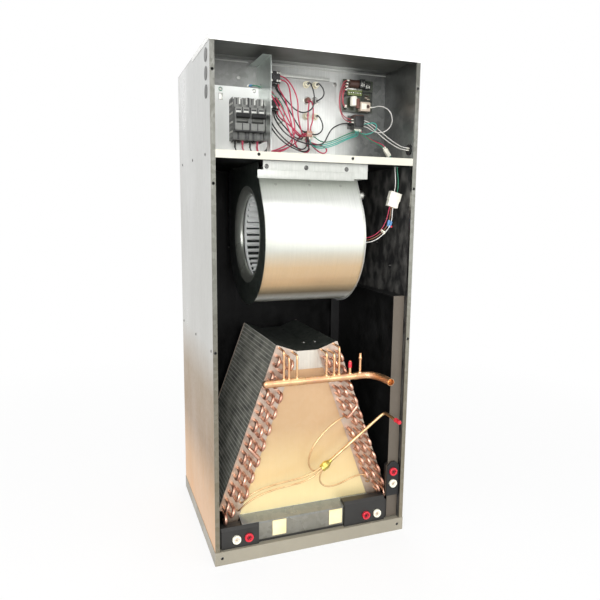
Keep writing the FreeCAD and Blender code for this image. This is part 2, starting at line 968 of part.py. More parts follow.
def heating_elements():
    radius = float(size.element_spread) / 2
    front = float(heater_y - size.stud_length)
    back = float(plenum_y + size.element_reach) - radius
    hairpins = []
    for k in range(2):
        height = float(deck_top + size.element_low + size.element_pitch * k)
        middle = float(size.element_place)
        left, right = middle - radius, middle + radius
        bend = Part.Arc(Vector(left, back, height), Vector(middle, back + radius, height), Vector(right, back, height))
        edges = [
            Part.LineSegment(Vector(left, front, height), Vector(left, back, height)).toShape(),
            bend.toShape(),
            Part.LineSegment(Vector(right, back, height), Vector(right, front, height)).toShape(),
        ]
        hairpins.append(piped(Part.Wire(edges), BACK, size.element_radius, size.tube_sides))
    return feature("heating_elements", Part.makeCompound(hairpins))


def section_ring(centre, along, radius, sides):
    # Flat sided ring that stands for a round section, square to the way along
    ahead = Vector(along).normalize()
    aside = ahead.cross(UP if abs(ahead.z) < 0.9 else RIGHT).normalize()
    over = aside.cross(ahead)
    count = int(float(sides))
    turns = [2 * math.pi * (k + 0.5) / count for k in range(count)]
    corners = [centre + (aside * math.cos(turn) + over * math.sin(turn)) * float(radius) for turn in turns]
    return Part.makePolygon([*corners, corners[0]])


def piped(path, along, radius, sides):
    # A tube of flat sides along a path, mitred at its corners
    start = path.OrderedVertexes[0].Point
    return path.makePipeShell([section_ring(start, along, radius, sides)], True, False, 1)


def heater_rack():
    middle = size.element_place
    front = plenum_y + size.element_reach - size.element_spread
    half = size.rack_plate_width / 2
    centre = deck_top + size.element_low + size.element_pitch / 2
    tall = size.rack_plate_height / 2
    plate = extruded("rack_plate", "XZ_Plane", rectangle(middle - half, centre - tall, middle + half, centre + tall),
                     front, front + size.gauge)
    cut_through(plate, "XZ_Plane", circles=[(spot, size.element_radius + size.fit_gap) for spot in element_spots()])
    rods = []
    for k, sign in enumerate((-1, 1)):
        across = middle + sign * size.rack_rod_spread / 2
        rods.append(rod(f"rack_rod_{k}", (across, plenum_y, centre), size.rack_rod, front - plenum_y, BACK))
    return fused("heater_rack", [plate, *rods])


def limit_switches():
    switches = []
    height = deck_top + size.limit_rise
    for k in range(2):
        across = size.limit_place + size.limit_spread * k
        flange = rod(f"limit_flange_{k}", (across, heater_y - size.gauge * 2, height), size.limit_flange,
                     size.gauge * 2, BACK)
        cup = rod(f"limit_cup_{k}", (across, heater_y - size.limit_depth, height), size.limit_radius,
                  size.limit_depth, BACK)
        switches.append(fused(f"limit_switch_{k}", [flange, cup]))
    return group("limit_switches", switches)


def wire_splice():
    # Small terminal block where the heat kit's wires join
    low = deck_top + size.splice_rise
    left = size.splice_left
    return block("wire_splice", (left, heater_y - size.splice_depth, low),
                 (left + size.splice_width, heater_y, low + size.splice_height))


def sequencer_centre(index):
    return -size.sequencer_place, deck_top + size.sequencer_low + size.sequencer_pitch * index


def heat_sequencers():
    relays = []
    for k in range(2):
        across, height = sequencer_centre(k)
        wide, tall = size.sequencer_width / 2, size.sequencer_height / 2
        front = heater_y - size.sequencer_depth
        body = extruded(f"sequencer_{k}", "XZ_Plane",
                        rectangle(across - wide, height - tall, across + wide, height + tall), front, heater_y)
        step = size.sequencer_step
        add_pad(body, "XZ_Plane",
                rectangle(across - wide + step, height - tall + step, across + wide - step, height + tall - step),
                front - size.sequencer_head, front)
        relays.append(body)
    return group("heat_sequencers", relays)


# Control board and transformer


def board_front():
    return plenum_y - size.standoff_length - size.board_thickness


def board_low():
    return top_z - size.board_headroom - size.board_height


def control_board():
    low = board_low()
    left = size.board_left
    board = block("board_sheet", (left, board_front(), low),
                  (left + size.board_width, plenum_y - size.standoff_length, low + size.board_height))
    pieces = [board]
    inset = size.standoff_inset
    for across in (left + inset, left + size.board_width - inset):
        for height in (low + inset, low + size.board_height - inset):
            pieces.append(rod("standoff", (across, plenum_y - size.standoff_length, height), size.standoff_radius,
                              size.standoff_length, BACK))
    return fused("control_board", pieces)


def board_components():
    low = board_low()
    left = size.board_left
    front = board_front()
    inset = size.standoff_inset * 2
    relay_low = low + size.board_height - size.relay_height - size.standoff_inset / 2
    relay = block("fan_relay", (left + inset, front - size.relay_depth, relay_low),
                  (left + inset + size.relay_width, front, relay_low + size.relay_height))
    strip = block("terminal_strip", (left + inset, front - size.strip_depth, low + inset),
                  (left + size.board_width - inset, front, low + inset + size.strip_height))
    fuse_left = left + inset + size.relay_width * 1.5
    fuse = block("fuse_holder", (fuse_left, front - size.strip_depth, relay_low),
                 (fuse_left + size.relay_width / 2, front, relay_low + size.relay_height))
    return group("board_components", [relay, strip, fuse])


def transformer():
    left = size.board_left + (size.board_width - size.transformer_width) / 2
    low = board_low() - size.transformer_gap - size.transformer_height
    foot = size.transformer_foot
    right = left + size.transformer_width
    high = low + size.transformer_height
    core = block("core", (left + foot, plenum_y - size.transformer_depth, low), (right - foot, plenum_y, high))
    plate = block("foot_plate", (left, plenum_y - size.gauge * 2, low), (right, plenum_y, high))
    middle = (left + right) / 2
    side = size.winding_width / 2
    level = (low + high) / 2
    winding = block("winding", (middle - side, plenum_y - size.transformer_depth - size.winding_bulge, level - side),
                    (middle + side, plenum_y - size.transformer_depth, level + side))
    return fused("transformer", [core, plate, winding])


# Blower housing


def scroll_radius(turn, extra):
    # Steady growth from the front, over half a turn, to the back
    return float(size.scroll_radius) + float(size.scroll_growth) * turn / 180.0 + extra


def scroll_point(turn, extra):
    reach = scroll_radius(turn, extra)
    angle = math.radians(turn)
    return Vector(0, float(axis_y) - reach * math.cos(angle), float(axis_z) - reach * math.sin(angle))


def scroll_start():
    return -float(size.scroll_start)


def scroll_arcs(extra):
    # The spiral from its start to the back, as arcs of an equal share each
    steps = 6
    share = (180.0 - scroll_start()) / steps
    arcs = []
    for k in range(steps):
        first = scroll_start() + share * k
        arcs.append(Part.Arc(scroll_point(first, extra), scroll_point(first + share / 2, extra),
                             scroll_point(first + share, extra)).toShape())
    return arcs


def scroll_lead(extra):
    # The straight stretch above the spiral's start, along its tangent
    start = scroll_point(scroll_start(), extra)
    angle = math.radians(scroll_start())
    along = Vector(0, -math.sin(angle), math.cos(angle))
    return start, start + along * float(size.scroll_lead)


def scroll_outline(extra, top):
    # The edges from the upper front, round the spiral, to the top of the straight back
    start, lead = scroll_lead(extra)
    back = scroll_point(180.0, extra)
    edges = [Part.LineSegment(lead, start).toShape()]
    edges += scroll_arcs(extra)
    edges.append(Part.LineSegment(back, Vector(0, back.y, top)).toShape())
    return edges, lead, Vector(0, back.y, top)


def blower_wrap():
    top = float(deck_z)
    inner, inner_start, inner_end = scroll_outline(0.0, top)
    outer, outer_start, outer_end = scroll_outline(float(size.gauge), top)
    ends = [Part.LineSegment(inner_start, outer_start).toShape(), Part.LineSegment(inner_end, outer_end).toShape()]
    face = Part.Face(Part.Wire(Part.__sortEdges__(inner + outer + ends)))
    reach = float(blower_x - size.gauge)
    face.translate(Vector(-reach, 0, 0))
    return feature("blower_wrap", face.extrude(Vector(reach * 2, 0, 0)))


def blower_side(label, side):
    top = float(deck_z)
    edges, start, end = scroll_outline(float(size.gauge + size.side_plate_rim), top)
    corner = Vector(0, start.y, top)
    edges.append(Part.LineSegment(start, corner).toShape())
    edges.append(Part.LineSegment(corner, end).toShape())
    face = Part.Face(Part.Wire(Part.__sortEdges__(edges)))
    gauge = float(size.gauge)
    outer = side * float(blower_x)
    face.translate(Vector(outer, 0, 0))
    plate = face.extrude(Vector(-side * gauge, 0, 0))
    inlet = float(size.inlet_radius)
    curl = float(size.inlet_curl)
    centre = Vector(outer, float(axis_y), float(axis_z))
    eye = Part.makeCylinder(inlet, gauge * 4, centre - Vector(gauge * 2, 0, 0), RIGHT)
    return feature(label, plate.cut(eye).fuse(bell_mouth(centre, side, inlet, curl, gauge)).removeSplitter())


def bell_mouth(centre, side, inlet, curl, gauge):
    # A quarter round, in two steps, that leads from the plate into the throat
    middle = centre + Vector(-side * curl, 0, inlet)
    steps = 2

    def quarter(radius):
        turns = [math.pi / 2 * k / steps for k in range(steps + 1)]
        return [middle + Vector(side * radius * math.cos(turn), 0, -radius * math.sin(turn)) for turn in turns]

    corners = [*quarter(curl), *reversed(quarter(curl - gauge))]
    return Part.Face(Part.makePolygon([*corners, corners[0]])).revolve(centre, RIGHT, 360)


def blower_cutoff():
    # Closes the front of the outlet, over a nose close to the wheel, down to the wrap's upper edge
    lead = scroll_lead(float(size.gauge))[1]
    gauge = size.gauge
    nose_y = axis_y - size.cutoff_ahead
    nose_z = axis_z + size.wheel_radius + size.cutoff_gap
    front = dim(lead.y) + gauge * 4
    front_z = dim(lead.z) - gauge * 4
    bend = size.flange_width
    spots = [
        (nose_y, deck_z),
        (nose_y, nose_z + bend),
        (nose_y - bend, nose_z),
        (front, front_z),
        (front, front_z - gauge),
        (nose_y - bend + gauge / 2, nose_z - gauge),
        (nose_y + gauge, nose_z + bend - gauge / 2),
        (nose_y + gauge, deck_z),
    ]
    reach = blower_x - size.gauge
    return extruded("blower_cutoff", "YZ_Plane", spots, -reach, reach)


def blower_bracket():
    # Angle that hangs the housing's front edge from the deck
    face = front_y + size.bracket_face
    low = deck_z - size.bracket_height
    lead = scroll_lead(float(size.gauge))[1]
    spots = [
        (face, low),
        (dim(lead.y), low),
        (dim(lead.y), low + size.gauge),
        (face + size.gauge, low + size.gauge),
        (face + size.gauge, deck_z),
        (face, deck_z),
    ]
    reach = blower_x + size.bracket_overhang
    return extruded("blower_bracket", "YZ_Plane", spots, -reach, reach)


# Wheel, shaft and motor


def wheel_hub():
    disc_radius = size.wheel_radius - size.blade_depth
    half_hub, half_disc = size.hub_length / 2, size.disc_thickness / 2
    spots = [
        (-half_hub, size.shaft_radius),
        (half_hub, size.shaft_radius),
        (half_hub, size.hub_radius),
        (half_disc, size.hub_radius),
        (half_disc, disc_radius),
        (-half_disc, disc_radius),
        (-half_disc, size.hub_radius),
        (-half_hub, size.hub_radius),
    ]
    return turned_body("wheel_hub", spots, (dim(0.0), axis_y, axis_z))


def wheel_rings():
    # End rings with one flat for each blade
    rings = []
    flats = int(float(size.blade_count))
    for k, start in enumerate((-size.wheel_length / 2, size.wheel_length / 2 - size.wheel_ring)):
        centre = (start, axis_y, axis_z)
        outer = prism(f"wheel_ring_outer_{k}", centre, size.wheel_radius, size.wheel_ring, RIGHT, flats)
        inner = prism(f"wheel_ring_inner_{k}", centre, size.wheel_radius - size.blade_depth / 2, size.wheel_ring,
                      RIGHT, flats)
        rings.append(cut_out(f"wheel_ring_{k}", outer, inner))
    return group("wheel_rings", rings)


def blade_face(start):
    # A forward curved blade, bowed in three flats from the inner to the outer edge
    outer = float(size.wheel_radius)
    inner = outer - float(size.blade_depth)
    sweep = math.radians(float(size.blade_sweep))
    half = float(size.blade_thickness) / 2

    def spot(radius, angle):
        return Vector(start, radius * math.cos(angle), radius * math.sin(angle))

    bow = Part.Arc(spot(inner, 0.0), spot((inner + outer) / 2, -sweep / 4), spot(outer, sweep)).toShape()
    places = bow.discretize(4)

    def edge(shift):
        return [place + (place - bow.Curve.Center).normalize() * shift for place in places]

    corners = [*edge(-half), *reversed(edge(half))]
    return Part.Face(Part.makePolygon([*corners, corners[0]]))


def wheel_blades():
    length = float(size.wheel_length - size.wheel_ring * 2)
    blade = blade_face(-length / 2).extrude(Vector(length, 0, 0))
    count = int(float(size.blade_count))
    blades = []
    for k in range(count):
        copy = blade.copy()
        copy.rotate(Vector(), RIGHT, 360.0 * k / count)
        copy.translate(point(0, axis_y, axis_z))
        blades.append(copy)
    return feature("wheel_blades", Part.makeCompound(blades))


def motor_shaft():
    start = -size.hub_length / 2 - size.shaft_overhang
    end = size.motor_start - size.motor_boss_length + size.shaft_seat
    return rod("motor_shaft", (start, axis_y, axis_z), size.shaft_radius, end - start, RIGHT)


def motor_body():
    bore = size.shaft_radius + size.shaft_clearance
    seat = size.shaft_seat + size.gauge
    length, radius, soft = size.motor_length, size.motor_radius, size.motor_rounding
    boss = size.motor_boss_length
    spots = [
        (-boss, bore),
        (-boss, size.motor_boss),
        (dim(0.0), size.motor_boss),
        (dim(0.0), radius - soft),
        (soft, radius),
        (length - soft, radius),
        (length, radius - soft),
        (length, size.motor_boss),
        (length + boss, size.motor_boss),
        (length + boss, dim(0.0)),
        (seat - boss, dim(0.0)),
        (seat - boss, bore),
    ]
    return turned_body("motor_body", spots, (size.motor_start, axis_y, axis_z))


def motor_mount():
    # A band round the motor with three arms, whose feet sit on the side plate
    axis = point(0, axis_y, axis_z)
    start = float(size.motor_start + size.band_place)
    inner = float(size.motor_radius)
    outer = inner + float(size.band_thickness)
    width = float(size.band_width)
    band = Part.makeCylinder(outer, width, axis + Vector(start, 0, 0), RIGHT)
    band = band.cut(Part.makeCylinder(inner, width, axis + Vector(start, 0, 0), RIGHT))
    thick = float(size.arm_thickness)
    plate = float(blower_x)
    foot = float(size.arm_foot)
    corners = [
        Vector(start, 0, outer),
        Vector(plate + thick, 0, outer),
        Vector(plate + thick, 0, foot),
        Vector(plate, 0, foot),
        Vector(plate, 0, outer + thick),
        Vector(start, 0, outer + thick),
    ]
    half = float(size.arm_width) / 2
    profile = Part.Face(Part.makePolygon([*corners, corners[0]]))
    profile.translate(Vector(0, -half, 0))
    arm = profile.extrude(Vector(0, half * 2, 0))
    inset = arm.cut(Part.makeCylinder(outer, plate * 2, Vector(), RIGHT))
    root = Part.makeBox(width, half * 2, thick, Vector(start, -half, outer - thick / 2))
    arm = inset.fuse(root.cut(Part.makeCylinder(inner + thick / 4, plate * 2, Vector(), RIGHT)))
    solid = band
    for k in range(3):
        copy = arm.copy()
        copy.rotate(Vector(), RIGHT, 120.0 * k + 60.0)
        copy.translate(axis)
        solid = solid.fuse(copy)
    return feature("motor_mount", solid.removeSplitter())


def run_capacitor():
    back = axis_y - size.capacitor_front
    height = axis_z + size.capacitor_rise
    rim = size.capacitor_rim
    spots = [
        (dim(0.0), dim(0.0)),
        (size.capacitor_length, dim(0.0)),
        (size.capacitor_length, size.capacitor_radius),
        (size.capacitor_length - rim * 2, size.capacitor_radius + rim),
        (size.capacitor_length - rim * 4, size.capacitor_radius),
        (dim(0.0), size.capacitor_radius),
    ]
    return turned_body("run_capacitor", spots, (blower_x, back, height))


# A coil


def slab_base(side):
    # Outer lower corner of a slab, about which it leans
    return -size.coil_offset + side * slab_foot, size.slab_rise


def coil_back():
    return size.slab_depth - coil_front


def fin_pack(side):
    # Comb of grooves across the slab's two faces, extruded along the slab
    front = -float(coil_front)
    back = float(coil_back())
    thick = float(size.slab_thickness)
    pitch = float(size.fin_pitch)
    groove = float(size.fin_groove)
    count = int((back - front) / pitch)
    margin = ((back - front) - count * pitch) / 2
    face_one, face_two = [], []
    for k in range(count):
        left = front + margin + (k + 0.25) * pitch
        right = left + pitch / 2
        steps = [(left, 0.0), (left, groove), (right, groove), (right, 0.0)]
        face_one += steps
        face_two += [(depth, thick - inset) for depth, inset in steps]
    outline = [(front, 0.0), *face_one, (back, 0.0), (back, thick), *reversed(face_two), (front, thick)]
    corners = [Vector(-side * across, depth, 0) for depth, across in outline]
    face = Part.Face(Part.makePolygon([*corners, corners[0]]))
    slab = face.extrude(Vector(0, 0, float(slab_length)))
    across, rise = slab_base(side)
    slab.Placement = Placement(point(across, 0, rise), Rotation(BACK, -side * float(coil_lean)))
    return slab


def coil_fins():
    return feature("coil_fins", Part.makeCompound([fin_pack(-1), fin_pack(1)]))


def slab_spot(side, inward, along):
    # A place on a slab's end, from its outer lower corner: into the slab, and up along it
    across, rise = slab_base(side)
    lean = coil_lean
    x = across - side * (inward * cosine(lean) + along * sine(lean))
    z = rise + along * cosine(lean) - inward * sine(lean)
    return x, z


def tube_sheets():
    sheets = []
    gauge = size.tube_sheet_gauge
    margin = size.sheet_margin
    ends = [("front", -coil_front - gauge), ("rear", coil_back())]
    for side, hand in ((-1, "left"), (1, "right")):
        foot_x = slab_spot(side, size.slab_thickness / 2, dim(0.0))[0]
        foot = pan_bottom + size.pan_wall
        half = size.slab_thickness / 6
        for name, start in ends:
            spots = [
                slab_spot(side, -margin, dim(0.0)),
                slab_spot(side, size.slab_thickness / 4, dim(0.0)),
                (foot_x + side * half, foot),
                (foot_x - side * half, foot),
                slab_spot(side, size.slab_thickness + margin, dim(0.0)),
                slab_spot(side, size.slab_thickness + margin, slab_length),
                slab_spot(side, -margin, slab_length),
            ]
            sheets.append(extruded(f"{hand}_{name}_sheet", "XZ_Plane", spots, start, start + gauge))
    return group("tube_sheets", sheets)


def row_depth(row):
    return size.slab_thickness / size.row_count * (row + 0.5)


def tube_along(row, index):
    # Tubes stand a pitch apart along the slab, and every other row is set half a pitch along
    return size.tube_pitch * (index + 0.5 + (0.5 if row % 2 else 0.0))


def open_bends(side):
    # Bends left out where a circuit starts or ends: (row, place along the slab)
    last = bend_count - 1
    middle = bend_count // 2
    return {(1, last), (2, 0), (2, middle)} if side > 0 else {(1, last), (2, 0)}


def return_bend(side, row, place):
    # Hairpin that joins two neighbouring tubes of a row, its half turn made of a few chords
    start = -float(coil_front + size.tube_sheet_gauge)
    ends = [slab_spot(side, row_depth(row), tube_along(row, 2 * place + step)) for step in range(2)]
    low, high = (Vector(float(x), start, float(z)) for x, z in ends)
    radius = (high - low) * 0.5
    centre = (low + high) * 0.5 - BACK * float(size.bend_stub)
    chords = int(float(size.bend_chords))
    reach = 1 / math.cos(math.pi / 2 / chords)
    corners = []
    for k in range(chords):
        turn = math.pi * (k + 0.5) / chords
        corners.append(centre - (radius * math.cos(turn) + BACK * (radius.Length * math.sin(turn))) * reach)
    return piped(Part.makePolygon([low, *corners, high]), BACK, size.tube_radius, size.tube_sides)


def return_bends():
    places = [(row, k) for row in range(int(float(size.row_count))) for k in range(bend_count)]
    bends = []
    for side in (-1, 1):
        kept = [spot for spot in places if spot not in open_bends(side)]
        bends += [return_bend(side, row, place) for row, place in kept]
    return feature("return_bends", Part.makeCompound(bends))


def coil_inner(side, along):
    return slab_spot(side, size.slab_thickness + size.sheet_margin + size.fit_gap, along)


def coil_top_plate():
    # Sheet laid over both slabs' tops, dipping between them, with an apron at the front
    thick = size.slab_thickness
    low_edge = slab_length
    high_edge = slab_length + size.gauge
    under = [slab_spot(-1, dim(0.0), low_edge), slab_spot(-1, thick, low_edge),
             slab_spot(1, thick, low_edge), slab_spot(1, dim(0.0), low_edge)]
    over = [slab_spot(1, dim(0.0), high_edge), slab_spot(1, thick, high_edge),
            slab_spot(-1, thick, high_edge), slab_spot(-1, dim(0.0), high_edge)]
    front = -coil_front - size.tube_sheet_gauge
    back = coil_back() + size.tube_sheet_gauge
    plate = extruded("coil_top_plate", "XZ_Plane", [*under, *over], front, back)
    left, top = coil_inner(-1, low_edge)
    right = coil_inner(1, low_edge)[0]
    top_left = slab_spot(-1, thick, high_edge)
    top_right = slab_spot(1, thick, high_edge)
    low = top - size.apron_height
    slack = size.apron_height * sine(coil_lean) / cosine(coil_lean)
    apron = [top_left, (left, top), (left - slack, low), (right + slack, low), (right, top), top_right]
    add_pad(plate, "XZ_Plane", apron, front, front + size.gauge)
    return plate


def delta_plates():
    # Triangular plates that close the coil's front and back
    plates = []
    apex_z = coil_inner(1, slab_length)[1] - size.apron_height - size.fit_gap
    run = size.apron_height + size.fit_gap
    slack = run * sine(coil_lean) / cosine(coil_lean)
    low_left, low = coil_inner(-1, dim(0.0))
    low_right = coil_inner(1, dim(0.0))[0]
    apex_left = coil_inner(-1, slab_length)[0] - slack
    apex_right = coil_inner(1, slab_length)[0] + slack
    spots = [(low_left, low), (low_right, low), (apex_right, apex_z), (apex_left, apex_z)]
    for name, start in (("front", -coil_front - size.tube_sheet_gauge), ("rear", coil_back())):
        plates.append(extruded(f"{name}_delta_plate", "XZ_Plane", spots, start, start + size.delta_gauge))
    return group("delta_plates", plates)


# Refrigerant lines


def suction_header():
    # Copper pipe across the coil that turns forward to its stub, with two ports and a feeder from each circuit
    radius = float(size.suction_radius)
    bend = float(size.suction_bend)
    front = -float(suction_front)
    height = float(suction_z)
    corner = float(size.suction_corner)
    wall = float(size.gauge)
    start = Vector(-float(size.suction_left), front, height)
    before = Vector(corner - bend, front, height)
    tip = Vector(corner, -float(suction_end), height)
    section = Part.Face(Part.Wire([Part.Circle(before, RIGHT, radius).toShape()]))
    pieces = [
        section.revolve(before - BACK * bend, UP, -90),
        Part.makeCylinder(radius, front - bend - tip.y, tip, BACK),
    ]
    top = height + radius - wall
    for place, rise in ((size.red_port_place, size.red_port_height), (size.plain_port_place, size.plain_port_height)):
        foot = Vector(float(place), front, top)
        pieces.append(Part.makeCylinder(float(size.port_radius), float(rise) + wall, foot, UP))
    for side in (-1, 1):
        pieces += [header_feeder(side, row, front, top) for row in range(int(float(size.row_count)))]
    pipe = Part.makeCylinder(radius, before.x - start.x, start, RIGHT).fuse(pieces)
    socket = Part.makeCylinder(radius - wall, float(size.suction_socket), tip, BACK)
    return feature("suction_header", pipe.cut(socket).removeSplitter())


def header_feeder(side, row, front, header_top):
    # Tube from a circuit's last place at the slab's top, forward and down into the header
    index = bend_count * 2 - (1 if row % 2 else 0)
    across, height = (float(amount) for amount in slab_spot(side, row_depth(row), tube_along(row, index)))
    start = Vector(across, -float(coil_front + size.tube_sheet_gauge), height)
    turn = float(size.feeder_bend)
    path = Part.makePolygon([
        start,
        Vector(across, front + turn, height),
        Vector(across, front, height - turn),
        Vector(across, front, header_top),
    ])
    return piped(path, BACK, size.tube_radius, size.tube_sides)


def liquid_ends():
    front = -float(suction_front)
    low = Vector(float(size.liquid_start), front, float(size.liquid_low))
    corner = Vector(float(liquid_corner), front, float(liquid_high))
    return low, corner


def liquid_line():
    low, corner = liquid_ends()
    along = corner - low
    along.normalize()
    bend = float(size.liquid_bend)
    before = corner - along * bend
    after = corner + Vector(0, -bend, 0)
    middle = corner + (along * -bend + Vector(0, -bend, 0)) * (1 - math.sqrt(0.5))
    edges = [
        Part.LineSegment(low, before).toShape(),
        Part.Arc(before, middle, after).toShape(),
        Part.LineSegment(after, Vector(corner.x, -float(liquid_end), corner.z)).toShape(),
    ]
    return feature("liquid_line", piped(Part.Wire(edges), along, size.liquid_radius, size.tube_sides))


def distributor():
    # Brass cone below the liquid line, from which the capillaries fan out
    low, corner = liquid_ends()
    length = size.distributor_length
    neck = size.liquid_radius + size.gauge
    wide = size.distributor_radius
    spots = [
        (-length, dim(0.0)),
        (dim(0.0), dim(0.0)),
        (dim(0.0), neck),
        (-length / 4, neck),
        (-length / 2, wide),
        (-length, wide),
    ]
    body = turned_body("distributor", spots, (size.liquid_start, -suction_front, size.liquid_low))
    lift = math.degrees(math.atan2(corner.z - low.z, corner.x - low.x))
    body.Placement = Placement(body.Placement.Base, Rotation(BACK, -lift))
    return body


def routed(name, spots, radius, sides):
    # Straight runs joined by tangent arcs, each as large as its two runs allow
    edges = []
    bends = []
    here = spots[0]
    for before, corner, after in zip(spots, spots[1:], spots[2:]):
        back, ahead = before - corner, after - corner
        reach = 0.45 * min(back.Length, ahead.Length)
        back.normalize()
        ahead.normalize()
        bisector = (back + ahead).normalize()
        half = back.getAngle(ahead) / 2
        bends.append(reach * math.tan(half))
        centre = corner + bisector * (reach / math.cos(half))
        start, end = corner + back * reach, corner + ahead * reach
        edges.append(Part.LineSegment(here, start).toShape())
        edges.append(Part.Arc(start, centre - bisector * bends[-1], end).toShape())
        here = end
    edges.append(Part.LineSegment(here, spots[-1]).toShape())
    tube = piped(Part.Wire(edges), spots[1] - spots[0], radius, sides)
    corners = float(sides)
    section = corners / 2 * float(radius) ** 2 * math.sin(2 * math.pi / corners)
    length = sum(edge.Length for edge in edges)
    if abs(tube.Volume / (section * length) - 1) > 0.01:
        raise RuntimeError(f"{name} has a tube whose volume does not fit its route")
    print(f"{name}: {length:.0f} long, radii {min(bends):.1f} to {max(bends):.1f}")
    return tube


def routed_group(label, routes, radius, sides):
    tubes = [routed(label, [Vector(*spot) for spot in route], radius, sides) for route in routes]
    return feature(label, Part.makeCompound(tubes))


def capillary_tubes():
    # Thin copper tubes from the distributor's lower face to a tube of each circuit
    low, corner = liquid_ends()
    along = (corner - low).normalize()
    face = low - along * float(size.distributor_length)
    across = Vector(-along.z, 0, along.x) * float(size.distributor_radius / 2)
    aside = Vector(0, float(size.distributor_radius / 2), 0)
    sheet_face = -float(coil_front + size.tube_sheet_gauge)

    def landing(side, index):
        x, z = slab_spot(side, row_depth(2), tube_along(2, index))
        tip = Vector(float(x), sheet_face, float(z))
        return [tip - Vector(0, float(size.distributor_radius), 0), tip]

    routes = [
        [face + across, (8, -247, 238), (-30, -244, 224), (-70, -241, 218), (-112, -240, 214),
         (-156, -240, 207), (-194, -238, 194), (-216, -233, 172), *landing(-1, 1)],
        [face - aside, (6, -253, 228), (-30, -251, 213), (-72, -249, 207), (-114, -248, 203),
         (-158, -246, 194), (-200, -243, 176), (-226, -234, 150), *landing(-1, 0)],
        [face - across, (20, -247, 220), (25, -246, 196), (47, -245, 180), (78, -244, 180),
         (108, -243, 188), (140, -241, 198), (170, -240, 202), (194, -238, 190), (204, -230, 170),
         *landing(1, 1)],
        [face + aside, (13, -241, 234), (-6, -238, 243), (-13, -236, 268), (-4, -235, 302),
         (20, -235, 337), (52, -235, 368), (88, -234, 391), (111, -227, 397), *landing(1, 11)],
    ]
    return routed_group("capillary_tubes", routes, size.capillary_radius, size.capillary_sides)


def line_caps():
    # Shipping caps on the liquid line's end and on the shorter port
    low, corner = liquid_ends()
    wall = float(size.cap_wall)
    inner = float(size.liquid_radius)
    length = float(size.line_cap_length)
    tip = Vector(corner.x, -float(liquid_end) - wall, corner.z)
    shell = Part.makeCylinder(inner + wall, length, tip, BACK)
    line_cap = shell.cut(Part.makeCylinder(inner, length, tip + Vector(0, wall, 0), BACK))
    port = float(size.port_radius)
    top = float(suction_z + size.suction_radius + size.red_port_height) + wall
    height = float(size.port_cap_length)
    foot = Vector(float(size.red_port_place), -float(suction_front), top - height)
    shell = Part.makeCylinder(port + wall, height, foot, UP)
    port_cap = shell.cut(Part.makeCylinder(port, height - wall, foot, UP))
    return feature("line_caps", Part.makeCompound([line_cap, port_cap]))


# Wires and plugs


def leaning_block(label, centre, width, depth, height, lean):
    # A block about its own centre, turned in the front plane so that its top leans to the right
    body = extruded(label, "XZ_Plane", rectangle(-width / 2, -height / 2, width / 2, height / 2), -depth / 2, depth / 2)
    body.Placement = Placement(point(*centre), Rotation(BACK, float(lean)))
    bind(body, ".Placement.Rotation.Angle", lean)
    set_place(body, centre)
    return body


def motor_plugs():
    # The white connector above the deck and the larger plug below it, on the blower motor's leads
    above = (half_width - size.lead_plug_side, size.lead_plug_setback - half_depth, deck_top + size.lead_plug_rise)
    below = (half_width - size.motor_plug_side, size.motor_plug_setback - half_depth, deck_z - size.motor_plug_drop)
    upper = leaning_block("upper_plug", above, size.lead_plug_width, size.lead_plug_depth, size.lead_plug_height,
                          size.lead_plug_lean)
    lower = leaning_block("lower_plug", below, size.motor_plug_width, size.motor_plug_depth, size.motor_plug_height,
                          size.motor_plug_lean)
    return group("motor_plugs", [upper, lower])


def from_deck(spots):
    # Places whose height is measured from the deck
    return [(x, y, float(deck_top) + z) for x, y, z in spots]


def from_top(spots):
    # Places whose height is measured from the cabinet's top sheet
    return [(x, y, float(top_z) + z) for x, y, z in spots]


def from_wall(spots):
    # Places measured from the cabinet's right side and from the deck
    return [(float(half_width) + x, y, float(deck_top) + z) for x, y, z in spots]


def red_wires():
    routes = [
        from_deck([(-63, -78, 262), (-49, -78, 262), (-36, -95, 245), (-22, -110, 216),
                   (-12, -113, 182), (-14, -113, 148), (-6, -110, 119), (6, -96, 100), (16, -82, 93),
                   (28, -82, 93)]),
        from_deck([(-63, -82, 250), (-49, -82, 250), (-40, -94, 240), (-38, -110, 218),
                   (-38, -119, 186), (-32, -120, 146), (-24, -120, 112), (-27, -120, 82),
                   (-46, -120, 59), (-78, -120, 43), (-115, -120, 32), (-150, -119, 26),
                   (-172, -112, 29), (-182.4, -104.3, 38), (-182.4, -104.3, 52)]),
        from_deck([(-66, -86, 236), (-66, -86, 224), (-60, -101, 208), (-54, -120, 184),
                   (-48, -128, 152), (-38, -128, 118), (-32, -128, 82), (-24, -128, 54),
                   (-6, -128, 39), (14, -121, 38), (27, -108, 46), (33, -92, 54), (33, -78, 62),
                   (33, -64, 75), (33, -64, 90)]),
        from_deck([(-137.3, -104.3, 52), (-137.3, -104.3, 40), (-128, -101, 31), (-104, -99, 33),
                   (-72, -98, 41), (-42, -97, 50), (-14, -94, 66), (4, -82, 86), (15, -68, 98),
                   (28, -68, 98)]),
        from_deck([(33, -72.7, 197), (33, -83, 197), (31, -91, 189), (28, -93, 173), (27, -92, 150),
                   (29, -88, 131), (33, -79, 120), (33, -79, 108)]),
        from_deck([(40, -72.7, 197), (40, -83, 197), (42, -91, 189), (44, -93, 173), (44, -92, 150),
                   (43, -88, 131), (41, -79, 120), (41, -79, 108)]),
    ]
    return routed_group("red_wires", routes, size.power_wire, size.wire_sides)


